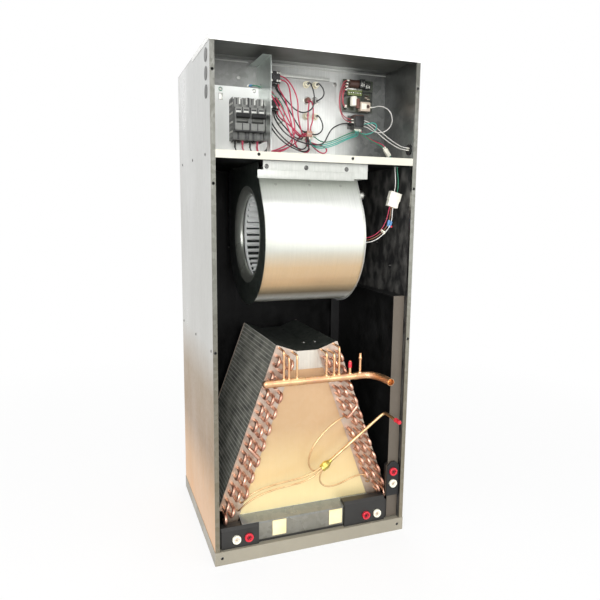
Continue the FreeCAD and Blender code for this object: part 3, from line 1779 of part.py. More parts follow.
def black_wires():
    routes = [
        from_deck([(-204.7, -104.3, 52), (-204.7, -104.3, 40), (-200, -118, 29), (-168, -130, 24),
                   (-134, -130, 26), (-112, -124, 40), (-104, -112, 70), (-102, -94, 104),
                   (-100, -76, 134), (-100, -76, 160)]),
        from_deck([(-159.6, -104.3, 52), (-159.6, -104.3, 40), (-150, -109, 31), (-126, -110, 29),
                   (-106, -108, 40), (-96, -102, 64), (-89, -92, 98), (-85, -78, 132),
                   (-85, -78, 160)]),
        from_deck([(32, -79.7, 248), (32, -91, 248), (34, -101, 240), (40, -104, 222), (44, -104, 196),
                   (38, -103, 170), (14, -102, 156), (-12, -101, 160), (-32, -97, 178),
                   (-54, -81, 208), (-66, -72, 222), (-66, -72, 236)]),
        from_deck([(62, -79.7, 248), (62, -91, 248), (65, -100, 241), (72, -104, 230), (76, -102, 216),
                   (72, -94, 205), (62, -84, 199), (62, -72.7, 199)]),
        from_deck([(-74, -80, 236), (-74, -80, 224), (-66, -94, 208), (-46, -104, 174),
                   (-24, -104, 140), (-4, -98, 116), (14, -80, 104), (28, -80, 104)]),
        from_deck([(-92, -78, 160), (-92, -78, 146), (-93, -96, 130), (-92, -118, 110),
                   (-82, -134, 90), (-62, -138, 70), (-40, -138, 56), (-18, -136, 46), (0, -126, 46),
                   (14, -110, 53), (24, -91, 62), (31, -78, 75), (31, -78, 90)]),
        [*from_deck([(-78, -78, 160), (-78, -78, 146), (-79, -98, 132), (-78, -120, 116),
                     (-70, -138, 96), (-50, -146, 78), (-22, -147, 66), (8, -147, 60), (40, -145, 58),
                     (64, -140, 67), (76, -132, 89), (96, -120, 114)]),
         *from_top([(126, -106, -175), (152, -92, -168), (174, -74, -166), (188, -74, -166)])],
    ]
    return routed_group("black_wires", routes, size.power_wire, size.wire_sides)


def control_wires():
    routes = [
        from_deck([(-150, -56.5, 229), (-150, -66, 229), (-141, -82, 228), (-126, -94, 223),
                   (-110, -102, 213), (-92, -110, 202), (-74, -112, 189), (-60, -111, 170),
                   (-52, -104, 150), (-52, -86, 132), (-52, -70, 128), (-52, -57.7, 128)]),
        from_top([(164, -84, -46), (152, -84, -46), (141, -91, -62), (133, -94, -86), (131, -95, -112),
                  (137, -92, -134), (152, -84, -147), (174, -76, -152), (188, -76, -152)]),
        from_top([(164, -80, -54), (154, -80, -54), (146, -85, -69), (143, -86, -87), (144, -83, -101),
                  (152, -76, -111), (164, -76, -111)]),
        from_top([(244, -76, -111), (256, -76, -111), (266, -96, -108), (280, -118, -115),
                  (291, -132, -132), (296, -136, -156), (289, -134, -179), (271, -128, -193),
                  (252, -122, -195), (243, -107, -189), (240, -90, -180), (234, -74, -171),
                  (220, -74, -171)]),
        [*from_top([(220, -68, -158), (234, -68, -158), (247, -88, -174), (258, -112, -195)]),
         *from_wall([(-41, -138, 88), (-29, -164, 70), (-21, -196, 55), (-14, -219, 49),
                     (-2, -219, 49)])],
        [*from_top([(220, -64, -150), (236, -64, -150), (252, -86, -166), (264, -112, -186)]),
         *from_wall([(-35, -138, 96), (-25, -164, 78), (-18, -196, 62), (-14, -222, 55),
                     (-2, -222, 55)])],
        [*from_top([(212, -74, -180), (212, -74, -191), (222, -92, -204), (238, -112, -220)]),
         *from_wall([(-58, -130, 72), (-48.7, -140, 64.1), (-42.9, -140, 55.9)])],
        [*from_top([(218, -70, -180), (218, -70, -192), (229, -90, -206), (245, -112, -220)]),
         *from_wall([(-52, -131, 75), (-43.7, -140, 67.6), (-38, -140, 59.4)])],
        [*from_top([(198, -74, -180), (198, -74, -191), (188, -92, -198), (168, -108, -204)]),
         *from_deck([(136, -118, 88), (104, -121, 74), (76, -120, 65), (58, -112, 63), (48, -98, 64),
                     (45, -84, 68), (44, -68, 78), (44, -68, 90)])],
        [*from_top([(206, -74, -180), (206, -74, -192), (196, -94, -204), (172, -112, -211)]),
         *from_deck([(140, -124, 81), (107, -129, 65), (77, -129, 55), (56, -123, 52), (43, -109, 56),
                     (39, -94, 66), (38, -80, 78), (38, -80, 90)])],
    ]
    return routed_group("control_wires", routes, size.control_wire, size.wire_sides)


def motor_leads():
    routes = [
        from_wall([(-28, -140, 34.6), (-20, -140, 23.2), (-23, -162, 14), (-30, -186, 10),
                   (-37, -200, -2), (-37, -203, -22), (-36, -205, -44), (-36.2, -205, -65),
                   (-39.5, -205, -76.5)]),
        from_wall([(-23.1, -140, 38.1), (-15, -140, 26.6), (-16, -162, 21), (-23, -186, 17),
                   (-30, -200, 4), (-29, -203, -18), (-26.5, -205, -42), (-26.5, -205, -67.7),
                   (-29.8, -205, -79.3)]),
        [*from_wall([(-47.3, -205, -122.1), (-50.1, -205, -131.7), (-51, -206, -150),
                     (-57, -206, -174), (-73, -204, -198)]),
         *from_deck([(212, -198, -218), (190, -182, -226), (184, -150, -224), (180, -118, -220),
                     (172, -94, -217), (156, -94, -217)])],
        [*from_wall([(-53.1, -205, -120.5), (-55.9, -205, -130.1), (-57, -201, -148),
                     (-63, -199, -170), (-77, -198, -193)]),
         *from_deck([(211, -192, -212), (191, -176, -219), (186, -146, -217), (182, -116, -213),
                     (173, -92, -210), (156, -92, -210)])],
        [*from_wall([(-41.6, -205, -123.8), (-44.3, -205, -133.4), (-46, -210, -154),
                     (-53, -212, -179), (-71, -210, -203)]),
         *from_deck([(212, -204, -225), (188, -188, -233), (181, -154, -231), (177, -120, -227),
                     (171, -96, -224), (156, -96, -224)])],
    ]
    return routed_group("motor_leads", routes, size.motor_wire, size.wire_sides)


# Drain pans


def drain_box(body, left, right, top):
    soft = size.drain_box_chamfer
    back = box_front + size.drain_box_depth
    spots = [
        (box_front, pan_bottom),
        (back, pan_bottom),
        (back, top),
        (box_front + soft, top),
        (box_front, top - soft),
    ]
    add_pad(body, "YZ_Plane", spots, left, right)


def bore_drains(body, spots):
    drawing = new_sketch(body, "XZ_Plane", -box_front)
    for spot in spots:
        draw_circle(drawing, spot, size.drain_bore)
    cut = body.newObject("PartDesign::Pocket", f"{body.Name}_bores")
    cut.Profile = drawing
    bind(cut, "Length", size.drain_plug_depth + size.gauge)


def left_box():
    end = size.left_box_inset - pan_reach
    return end, end + size.left_box_width


def right_box():
    end = pan_right - size.right_box_inset
    return end - size.right_box_width, end


def white_places():
    left, right = left_box()[0] + size.left_white_plug, right_box()[1] - size.right_white_plug
    return [(left, size.drain_height), (right, size.drain_height)]


def red_places():
    left, right = left_box()[0] + size.left_red_plug, right_box()[1] - size.right_red_plug
    return [(left, size.drain_height), (right, size.drain_height)]


def drain_pan():
    # Moulded tray: outer walls, a trough all round, a dam about the air opening and a drain box at each end
    back = back_y - size.liner_thickness - size.pan_side_gap
    pan = extruded("drain_pan", "XY_Plane", rectangle(-pan_reach, pan_front, pan_right, back),
                   pan_bottom, size.pan_top)
    wall = size.pan_wall
    floor = pan_bottom + wall
    cut_pocket(pan, "XY_Plane", rectangle(wall - pan_reach, pan_front + wall, pan_right - wall, back - wall),
               size.pan_top, size.pan_top - floor, False)
    left = size.pan_trough - pan_reach
    right = pan_right - size.pan_trough
    front = pan_front + size.pan_front_trough
    rear = back - size.pan_front_trough
    add_pad(pan, "XY_Plane", rectangle(left, front, right, rear), pan_bottom, pan_bottom + size.pan_dam)
    cut_through(pan, "XY_Plane", [rectangle(left + wall, front + wall, right - wall, rear - wall)])
    drain_box(pan, *left_box(), size.pan_top)
    drain_box(pan, *right_box(), size.drain_box_top)
    bore_drains(pan, [*white_places(), *red_places()])
    return pan


def side_plug_place():
    return pan_reach - size.side_box_width / 2


def side_drain_pan():
    # Upright tray on the right, for the unit laid on its side, with its own drain box at the front
    left = pan_reach - size.side_pan_depth
    low = pan_bottom + size.pan_wall
    pan = extruded("side_drain_pan", "YZ_Plane",
                   rectangle(pan_front, low, side_pan_back, size.side_pan_top), left, pan_reach)
    wall = size.pan_wall
    hollow = rectangle(pan_front + wall, low + wall, side_pan_back - wall, size.side_pan_top - wall)
    cut_pocket(pan, "YZ_Plane", hollow, left, size.side_pan_depth - wall, True)
    soft = size.side_box_chamfer
    edge = pan_reach - size.side_box_width
    spots = [
        (edge, size.side_box_low),
        (pan_reach, size.side_box_low),
        (pan_reach, size.side_box_top - soft),
        (pan_reach - soft, size.side_box_top),
        (edge + soft, size.side_box_top),
        (edge, size.side_box_top - soft),
    ]
    add_pad(pan, "XZ_Plane", spots, box_front, box_front + size.drain_plug_depth + size.pan_wall * 2)
    across = side_plug_place()
    bore_drains(pan, [(across, size.side_red_plug), (across, size.side_white_plug)])
    return pan


def drain_plugs(label, spots):
    # Plugs with a six sided driver socket in the head
    plugs = []
    flats = size.drain_plug_flats
    for k, (across, height) in enumerate(spots):
        front = box_front - size.drain_plug_head
        head = rod(f"{label}_head_{k}", (across, front, height), size.drain_plug_radius, size.drain_plug_head, BACK)
        shank = prism(f"{label}_shank_{k}", (across, box_front, height), size.drain_bore - size.fit_gap,
                      size.drain_plug_depth, BACK, flats * 2)
        socket = prism(f"{label}_socket_{k}", (across, front, height), size.drain_plug_socket, size.drain_plug_recess,
                       BACK, flats)
        plugs.append(cut_out(f"{label}_{k}", fused(f"{label}_solid_{k}", [head, shank]), socket))
    return group(label, plugs)


def red_drain_plugs():
    return drain_plugs("red_drain_plugs", [*red_places(), (side_plug_place(), size.side_red_plug)])


def white_drain_plugs():
    return drain_plugs("white_drain_plugs", [*white_places(), (side_plug_place(), size.side_white_plug)])


def pan_front_rail():
    # Galvanised rail in front of the pan, whose shelf runs back up to the coil's front plate
    face = pan_front - size.gauge
    low = pan_bottom + size.front_rail_rise
    end = -coil_front - size.tube_sheet_gauge - size.fit_gap
    shelf = coil_inner(1, dim(0.0))[1] - size.gauge - size.fit_gap
    spots = [
        (face, low),
        (pan_front, low),
        (pan_front, size.pan_top),
        (end, shelf),
        (end, shelf + size.gauge),
        (face, size.pan_top + size.gauge),
    ]
    return extruded("pan_front_rail", "YZ_Plane", spots, left_box()[1] + size.front_rail_gap,
                    right_box()[0] - size.front_rail_gap)


def foam_pads():
    pads = []
    back = pan_front - size.gauge
    high = size.pan_top - size.gauge * 2
    left = left_box()[1] + size.foam_left_gap
    right = right_box()[0] - size.foam_right_gap - size.foam_width
    for name, edge in (("left_pad", left), ("right_pad", right)):
        pads.append(block(name, (edge, back - size.foam_thickness, high - size.foam_height),
                          (edge + size.foam_width, back, high)))
    return group("foam_pads", pads)


def keep_all():
    keep(left_side_panel(), "left_side_panel")
    keep(right_side_panel(), "right_side_panel")
    keep(rear_panel(), "rear_panel")
    keep(base_frame(), "base_frame")
    keep(top_cap(), "top_cap")
    keep(supply_frame(), "supply_frame")
    keep(blower_deck(), "blower_deck")
    keep(plenum_wall(), "plenum_wall")
    keep(cabinet_liners(), "cabinet_liners")
    keep(hole_plugs(), "hole_plugs")
    keep(wire_grommet(), "wire_grommet")
    keep(breaker_plate(), "breaker_plate")
    keep(breaker_divider(), "breaker_divider")
    keep(group("breaker_bodies", [breaker_body(0), breaker_body(1)]), "breaker_bodies")
    keep(breaker_lever(0), "breaker_1_lever")
    keep(breaker_lever(1), "breaker_2_lever")
    keep(terminal_lugs(), "terminal_lugs")
    keep(heater_plate(), "heater_plate")
    keep(terminal_bushings(), "terminal_bushings")
    keep(heating_elements(), "heating_elements")
    keep(heater_rack(), "heater_rack")
    keep(limit_switches(), "limit_switches")
    keep(wire_splice(), "wire_splice")
    keep(heat_sequencers(), "heat_sequencers")
    keep(control_board(), "control_board")
    keep(board_components(), "board_components")
    keep(transformer(), "transformer")
    keep(blower_wrap(), "blower_wrap")
    keep(blower_side("left_blower_side", -1), "left_blower_side")
    keep(blower_side("right_blower_side", 1), "right_blower_side")
    keep(blower_cutoff(), "blower_cutoff")
    keep(blower_bracket(), "blower_bracket")
    keep(wheel_hub(), "wheel_hub")
    keep(wheel_rings(), "wheel_rings")
    keep(wheel_blades(), "wheel_blades")
    keep(motor_shaft(), "motor_shaft")
    keep(motor_body(), "motor_body")
    keep(motor_mount(), "motor_mount")
    keep(run_capacitor(), "run_capacitor")
    keep(motor_plugs(), "motor_plugs")
    keep(motor_leads(), "motor_leads")
    keep(red_wires(), "red_wires")
    keep(black_wires(), "black_wires")
    keep(control_wires(), "control_wires")
    keep(coil_fins(), "coil_fins")
    keep(tube_sheets(), "tube_sheets")
    keep(return_bends(), "return_bends")
    keep(coil_top_plate(), "coil_top_plate")
    keep(delta_plates(), "delta_plates")
    keep(suction_header(), "suction_header")
    keep(liquid_line(), "liquid_line")
    keep(distributor(), "distributor")
    keep(line_caps(), "line_caps")
    keep(capillary_tubes(), "capillary_tubes")
    keep(drain_pan(), "drain_pan")
    keep(side_drain_pan(), "side_drain_pan")
    keep(red_drain_plugs(), "red_drain_plugs")
    keep(white_drain_plugs(), "white_drain_plugs")
    keep(pan_front_rail(), "pan_front_rail")
    keep(foam_pads(), "foam_pads")


keep_all()
doc.recompute()

failed = [thing.Name for thing in doc.Objects if {"Invalid", "Error"} & set(thing.State)]
if failed:
    raise RuntimeError(f"these did not build: {failed}")
for node in nodes:
    if node.Shape.isNull() or not node.Shape.isValid():
        raise RuntimeError(f"{node.Label} has no valid shape")

os.makedirs("parts", exist_ok=True)
for node in nodes:
    node.Shape.exportStep(f"parts/{node.Label}.step")
    print(node.Label, len(node.Shape.Solids), round(node.Shape.Volume, 1))
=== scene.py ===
import math

import bmesh
import bpy
from mathutils import Matrix, Vector


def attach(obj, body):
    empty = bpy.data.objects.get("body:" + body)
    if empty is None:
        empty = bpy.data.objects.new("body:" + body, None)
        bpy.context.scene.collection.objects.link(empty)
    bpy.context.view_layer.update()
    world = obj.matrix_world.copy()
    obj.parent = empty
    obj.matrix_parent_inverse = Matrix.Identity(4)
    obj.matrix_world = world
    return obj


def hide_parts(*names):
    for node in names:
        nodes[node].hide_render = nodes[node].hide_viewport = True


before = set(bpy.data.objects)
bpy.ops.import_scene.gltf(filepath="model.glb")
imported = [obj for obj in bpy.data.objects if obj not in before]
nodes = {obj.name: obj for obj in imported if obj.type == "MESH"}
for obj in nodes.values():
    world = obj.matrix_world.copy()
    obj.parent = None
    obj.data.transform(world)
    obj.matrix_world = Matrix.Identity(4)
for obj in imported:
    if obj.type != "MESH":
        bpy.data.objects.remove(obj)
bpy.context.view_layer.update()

# Looks of the upright air handler. Places are in millimetres, as in the part's source, and become metres here
mm = 0.001
tall = 1473.0  # height of the cabinet
sharpEdge = 38.0  # degrees; softer edges are shaded smooth
scene = bpy.context.scene
cabinet = "cabinet"
wheel = "blower_wheel"
leftward, rightward, forward, backward = (-1, 0, 0), (1, 0, 0), (0, -1, 0), (0, 1, 0)
upward, downward = (0, 0, 1), (0, 0, -1)


def spot(place):
    return Vector(place) * mm


def linked(name, data):
    thing = bpy.data.objects.new(name, data)
    scene.collection.objects.link(thing)
    return thing


def tone(red, green, blue):
    # A colour as seen on a screen, made linear for the shaders
    shares = [amount / 255 for amount in (red, green, blue)]
    return tuple(share / 12.92 if share <= 0.04045 else ((share + 0.055) / 1.055) ** 2.4 for share in shares)


def stopsOf(*stops):
    # Tones along an axis: a place from 0 to 1 and its colour
    return [(place, tone(*colour)) for place, *colour in stops]


def evenTone(*colour):
    return stopsOf((0.0, *colour), (1.0, *colour))


def faded(colour, share, lift=0.0):
    return tuple(min(1.0, amount * share + lift) for amount in colour)


# Finishes: small node helpers, then one function for each kind of surface


def newFinish(name, colour, metallic=0.0, roughness=0.5, **sockets):
    finish = bpy.data.materials.new(name)
    finish.use_nodes = True
    tree = finish.node_tree
    shader = tree.nodes["Principled BSDF"]
    shader.inputs["Base Color"].default_value = (*colour, 1.0)
    shader.inputs["Metallic"].default_value = metallic
    shader.inputs["Roughness"].default_value = roughness
    for word, amount in sockets.items():
        shader.inputs[word.replace("_", " ")].default_value = amount
    return finish, tree, shader


def addNode(tree, kind, links=None, **settings):
    node = tree.nodes.new(kind)
    for word, amount in settings.items():
        setattr(node, word, amount)
    for socket, source in (links or {}).items():
        if isinstance(source, bpy.types.NodeSocket):
            tree.links.new(source, node.inputs[socket])
        else:
            node.inputs[socket].default_value = source
    return node


def mathOf(tree, operation, *values):
    return addNode(tree, "ShaderNodeMath", dict(enumerate(values)), operation=operation).outputs[0]


def objectPlace(tree):
    return addNode(tree, "ShaderNodeTexCoord").outputs["Object"]


def axesOf(tree, vector):
    return addNode(tree, "ShaderNodeSeparateXYZ", {"Vector": vector}).outputs


def stretched(tree, stretch=(1, 1, 1)):
    links = {"Vector": objectPlace(tree), "Scale": stretch}
    return addNode(tree, "ShaderNodeMapping", links).outputs["Vector"]


def noiseOn(tree, scale, stretch=(1, 1, 1), detail=3.0):
    links = {"Vector": stretched(tree, stretch), "Scale": scale, "Detail": detail}
    return addNode(tree, "ShaderNodeTexNoise", links).outputs["Fac"]


def cellsOn(tree, scale):
    return addNode(tree, "ShaderNodeTexVoronoi", {"Vector": stretched(tree), "Scale": scale}).outputs


def spanOf(tree, source, low, high, fromLow=0.3, fromHigh=0.7):
    links = {"Value": source, "From Min": fromLow, "From Max": fromHigh, "To Min": low, "To Max": high}
    return addNode(tree, "ShaderNodeMapRange", links).outputs["Result"]


def blendOf(tree, share, first, second):
    # The first colour turns into the second by share
    first, second = ((*end, 1.0) if isinstance(end, tuple) else end for end in (first, second))
    return addNode(tree, "ShaderNodeMix", {0: share, 6: first, 7: second}, data_type="RGBA").outputs[2]


def bandsOf(tree, source, stops):
    # Colour by a value from 0 to 1, through several stops
    node = addNode(tree, "ShaderNodeValToRGB", {"Fac": source})
    ramp = node.color_ramp
    while len(ramp.elements) < len(stops):
        ramp.elements.new(1.0)
    for element, (place, colour) in zip(ramp.elements, stops):
        element.position = place
        element.color = (*colour, 1.0)
    return node.outputs["Color"]


def axisOf(tree, axis, low, high):
    # Where a point is between two places on X, Y or Z, from 0 to 1
    return spanOf(tree, axesOf(tree, objectPlace(tree))[axis], 0.0, 1.0, low * mm, high * mm)


def coat(tree, shader, colour, rough=None):
    tree.links.new(colour, shader.inputs["Base Color"])
    if rough is not None:
        tree.links.new(rough, shader.inputs["Roughness"])


def addBump(tree, shader, height, strength, distance):
    links = {"Height": height, "Strength": strength, "Distance": distance}
    tree.links.new(addNode(tree, "ShaderNodeBump", links).outputs["Normal"], shader.inputs["Normal"])


def zincSheet(name, stops, axis="Z", low=0.0, high=tall, roughness=0.34, metallic=1.0, streak=(70, 70, 1.2),
              edge=None, inside=None, drawnShare=0.2, flakeShare=0.06):
    # Galvanised sheet: tone along one axis, drawn streaks, faint spangle and handling marks
    finish, tree, shader = newFinish(name, stops[0][1], metallic, roughness)
    ground = bandsOf(tree, axisOf(tree, axis, low, high), stops)
    # Inner face of the sheet in another tone: painted shade
    if inside:
        outer, inner, colour = inside
        ground = blendOf(tree, axisOf(tree, "X", outer, inner), ground, colour)
    if edge:
        place, tones = edge
        lip = bandsOf(tree, axisOf(tree, "Z", 0.0, tall), tones)
        ground = blendOf(tree, axisOf(tree, "Y", place + 0.6, place), ground, lip)
    drawn = noiseOn(tree, 6.0, streak, 4.0)
    streaked = blendOf(tree, spanOf(tree, drawn, 0.0, drawnShare), ground, (0.16, 0.16, 0.15))
    flake = axesOf(tree, cellsOn(tree, 85.0)["Color"])["X"]
    mottled = blendOf(tree, spanOf(tree, flake, 0.0, flakeShare, 0.0, 1.0), streaked, (0.95, 0.95, 0.93))
    worn = noiseOn(tree, 5.0, (1, 1, 0.6), 5.0)
    coat(tree, shader, mottled, spanOf(tree, worn, roughness - 0.07, roughness + 0.1))
    addBump(tree, shader, drawn, 0.10, 0.0006)
    return finish


def paintedSheet(name, colour, roughness=0.42, inside=None):
    # Baked paint: orange peel, faint rubbed patches, and another tone on faces within a box
    finish, tree, shader = newFinish(name, colour, 0.0, roughness, Coat_Weight=0.15, Coat_Roughness=0.25)
    rubbed = noiseOn(tree, 9.0, (1, 1, 0.5), 5.0)
    ground = blendOf(tree, spanOf(tree, rubbed, 0.0, 0.6), colour, faded(colour, 0.8))
    if inside:
        under, behind, within, other = inside
        walls = [axisOf(tree, "X", sign * (within + 0.4), sign * within) for sign in (-1, 1)]
        share = axisOf(tree, "Z", under + 0.3, under - 0.1)
        for wall in (axisOf(tree, "Y", behind, behind + 0.4), *walls):
            share = mathOf(tree, "MULTIPLY", share, wall)
        drawn = noiseOn(tree, 6.0, (1.2, 60, 60), 4.0)
        dull = blendOf(tree, spanOf(tree, drawn, 0.0, 1.0), other, faded(other, 0.7))
        ground = blendOf(tree, share, ground, dull)
    coat(tree, shader, ground, spanOf(tree, rubbed, roughness - 0.08, roughness + 0.12))
    addBump(tree, shader, noiseOn(tree, 420.0), 0.12, 0.0003)
    return finish


def mouldedPlastic(name, colour, roughness=0.45, grainScale=600.0, ahead=None):
    # Moulded plastic: fine texture, soft clouding, and another tone on the face between two depths
    finish, tree, shader = newFinish(name, colour, 0.0, roughness, Specular_IOR_Level=0.45)
    cloud = noiseOn(tree, 22.0)
    ground = blendOf(tree, spanOf(tree, cloud, 0.0, 0.7), colour, faded(colour, 1.25, 0.006))
    if ahead:
        near, far, other = ahead
        past, short = axisOf(tree, "Y", near + 0.5, near), axisOf(tree, "Y", far, far + 0.5)
        ground = blendOf(tree, mathOf(tree, "MULTIPLY", past, short), ground, other)
    coat(tree, shader, ground, spanOf(tree, cloud, roughness - 0.08, roughness + 0.1))
    addBump(tree, shader, noiseOn(tree, grainScale), 0.16, 0.0002)
    return finish


def wireCoat(name, colour):
    # Soft insulation: slight sheen, uneven tone along the wire
    finish, tree, shader = newFinish(name, colour, 0.0, 0.38, Specular_IOR_Level=0.5)
    uneven = noiseOn(tree, 45.0)
    ground = blendOf(tree, spanOf(tree, uneven, 0.0, 0.8), colour, faded(colour, 0.72, 0.03))
    coat(tree, shader, ground, spanOf(tree, uneven, 0.30, 0.5))
    return finish


def copperTube(name, roughness, bright, dull, patch):
    # Drawn copper: bright metal, oxide clouds and dark handling spots
    finish, tree, shader = newFinish(name, bright, 1.0, roughness)
    cloud = noiseOn(tree, 28.0, detail=5.0)
    ground = blendOf(tree, spanOf(tree, cloud, 0.0, 1.0, 0.38, 0.62), bright, dull)
    spots = noiseOn(tree, 120.0, detail=2.0)
    spotted = blendOf(tree, spanOf(tree, spots, 0.0, 0.55, 0.58, 0.72), ground, patch)
    coat(tree, shader, spotted, spanOf(tree, cloud, roughness - 0.06, roughness + 0.16))
    addBump(tree, shader, spots, 0.08, 0.0003)
    return finish


def foilLiner(name):
    # Black faced insulation: crinkled foil skin over glass wool, greyer on the right wall as painted light
    finish, tree, shader = newFinish(name, tone(12, 12, 12), 0.0, 0.5, Specular_IOR_Level=0.16)
    crinkle = noiseOn(tree, 30.0, (1, 1, 0.7), 6.0)
    share = spanOf(tree, crinkle, 0.0, 1.0, 0.42, 0.66)
    dark = blendOf(tree, share, tone(4, 4, 4), tone(15, 15, 15))
    lit = blendOf(tree, share, tone(38, 38, 38), tone(84, 83, 80))
    ground = blendOf(tree, axisOf(tree, "X", 285.0, 295.0), dark, lit)
    coat(tree, shader, ground, spanOf(tree, crinkle, 0.38, 0.6))
    addBump(tree, shader, crinkle, 0.5, 0.004)
    return finish


def foamSkin(name, colour):
    # Open cell foam: pores and soft yellowing
    finish, tree, shader = newFinish(name, colour, 0.0, 0.9)
    aged = noiseOn(tree, 26.0)
    coat(tree, shader, blendOf(tree, spanOf(tree, aged, 0.0, 0.7), colour, tone(226, 208, 150)))
    addBump(tree, shader, cellsOn(tree, 700.0)["Distance"], 0.4, 0.0006)
    return finish


def lacqueredBoard(name):
    # Green solder mask with pale tracks
    finish, tree, shader = newFinish(name, tone(62, 70, 48), 0.0, 0.3, Coat_Weight=0.4, Coat_Roughness=0.2)
    links = {"Vector": stretched(tree, (1, 1, 1.8)), "Scale": 90.0, "Mortar Size": 0.03}
    tracks = addNode(tree, "ShaderNodeTexBrick", links).outputs["Fac"]
    coat(tree, shader, blendOf(tree, tracks, tone(44, 50, 38), tone(80, 86, 64)))
    addBump(tree, shader, tracks, 0.2, 0.0002)
    return finish


finHighlightLines = {"offset": 0.009, "inward": -0.342, "along": 0.94, "spacing": 0.0127}


def finStock(name):
    # Fin edges, with painted highlight lines across the slab at the tube rows
    finish, tree, shader = newFinish(name, tone(104, 104, 98), 0.35, 0.42)
    place = axesOf(tree, objectPlace(tree))
    wide = mathOf(tree, "ABSOLUTE", mathOf(tree, "ADD", place["X"], finHighlightLines["offset"]))
    inward = mathOf(tree, "MULTIPLY", wide, finHighlightLines["inward"])
    along = mathOf(tree, "MULTIPLY_ADD", place["Z"], finHighlightLines["along"], inward)
    wave = mathOf(tree, "SINE", mathOf(tree, "MULTIPLY", along, 2 * math.pi / finHighlightLines["spacing"]))
    patchy = spanOf(tree, noiseOn(tree, 7.0), 0.25, 0.9)
    lines = mathOf(tree, "MULTIPLY", spanOf(tree, wave, 0.0, 0.85, 0.5, 1.0), patchy)
    dull = noiseOn(tree, 16.0, (1, 1, 2), 4.0)
    ground = blendOf(tree, spanOf(tree, dull, 0.0, 1.0), tone(138, 138, 128), tone(84, 85, 80))
    highlightLined = blendOf(tree, lines, ground, tone(206, 206, 196))
    coat(tree, shader, highlightLined, spanOf(tree, dull, 0.34, 0.55))
    return finish


neutral = stopsOf((0.0, 196, 196, 192), (1.0, 206, 207, 205))
# Left side panel along Z: painted warm reflection, tan towards the bottom, plain zinc from a little below the
# middle up
sideReflectionTones = stopsOf((0.0, 244, 190, 132), (0.12, 226, 180, 128), (0.22, 168, 135, 96), (0.34, 167, 144, 113),
                    (0.44, 204, 203, 198), (1.0, 205, 206, 204))
flangeTones = stopsOf((0.0, 146, 136, 114), (0.3, 124, 118, 102), (0.55, 104, 104, 96), (1.0, 84, 84, 78))
# Back wall across X: painted light and shade, a lit band right of the middle and darker towards the right
# wall
plenumLightAndShadeTones = stopsOf((0.0, 128, 129, 126), (0.3, 122, 123, 120), (0.71, 206, 208, 204),
                      (0.78, 184, 186, 182), (0.86, 102, 104, 102), (1.0, 62, 64, 62))
heaterTones = stopsOf((0.0, 226, 228, 224), (0.5, 220, 222, 218), (0.78, 178, 179, 176), (1.0, 140, 140, 137))
dividerTones = stopsOf((0.0, 246, 249, 246), (0.55, 240, 244, 241), (0.66, 206, 213, 209),
                       (1.0, 214, 221, 217))
# Blower wrap along Z: painted reflections and highlights, grey with a white highlight low down, warm tan,
# pale above, grey at the top
blowerReflectionBands = stopsOf(
    (0.0, 206, 204, 190), (0.035, 150, 148, 134), (0.08, 255, 255, 246), (0.125, 158, 142, 116),
    (0.19, 226, 196, 152), (0.24, 206, 176, 136), (0.33, 202, 174, 136), (0.40, 196, 184, 162),
    (0.46, 192, 193, 184), (0.60, 202, 204, 196), (0.72, 230, 231, 227), (0.85, 228, 230, 225),
    (0.92, 204, 208, 200), (1.0, 176, 180, 172))
# Delta plates along Z: painted warm reflection, pale yellow at the bottom to deeper tan at the top
deltaReflectionTones = stopsOf((0.0, 246, 227, 172), (0.22, 230, 204, 151), (0.55, 199, 166, 126), (1.0, 192, 158, 122))
# Drain pan rail along Z: painted reflection, bluish on its top shelf
railReflectionTones = stopsOf((0.0, 112, 110, 100), (0.7, 134, 131, 119), (0.85, 128, 134, 136), (1.0, 128, 142, 152))
flangeEdge = (-264.2, flangeTones)

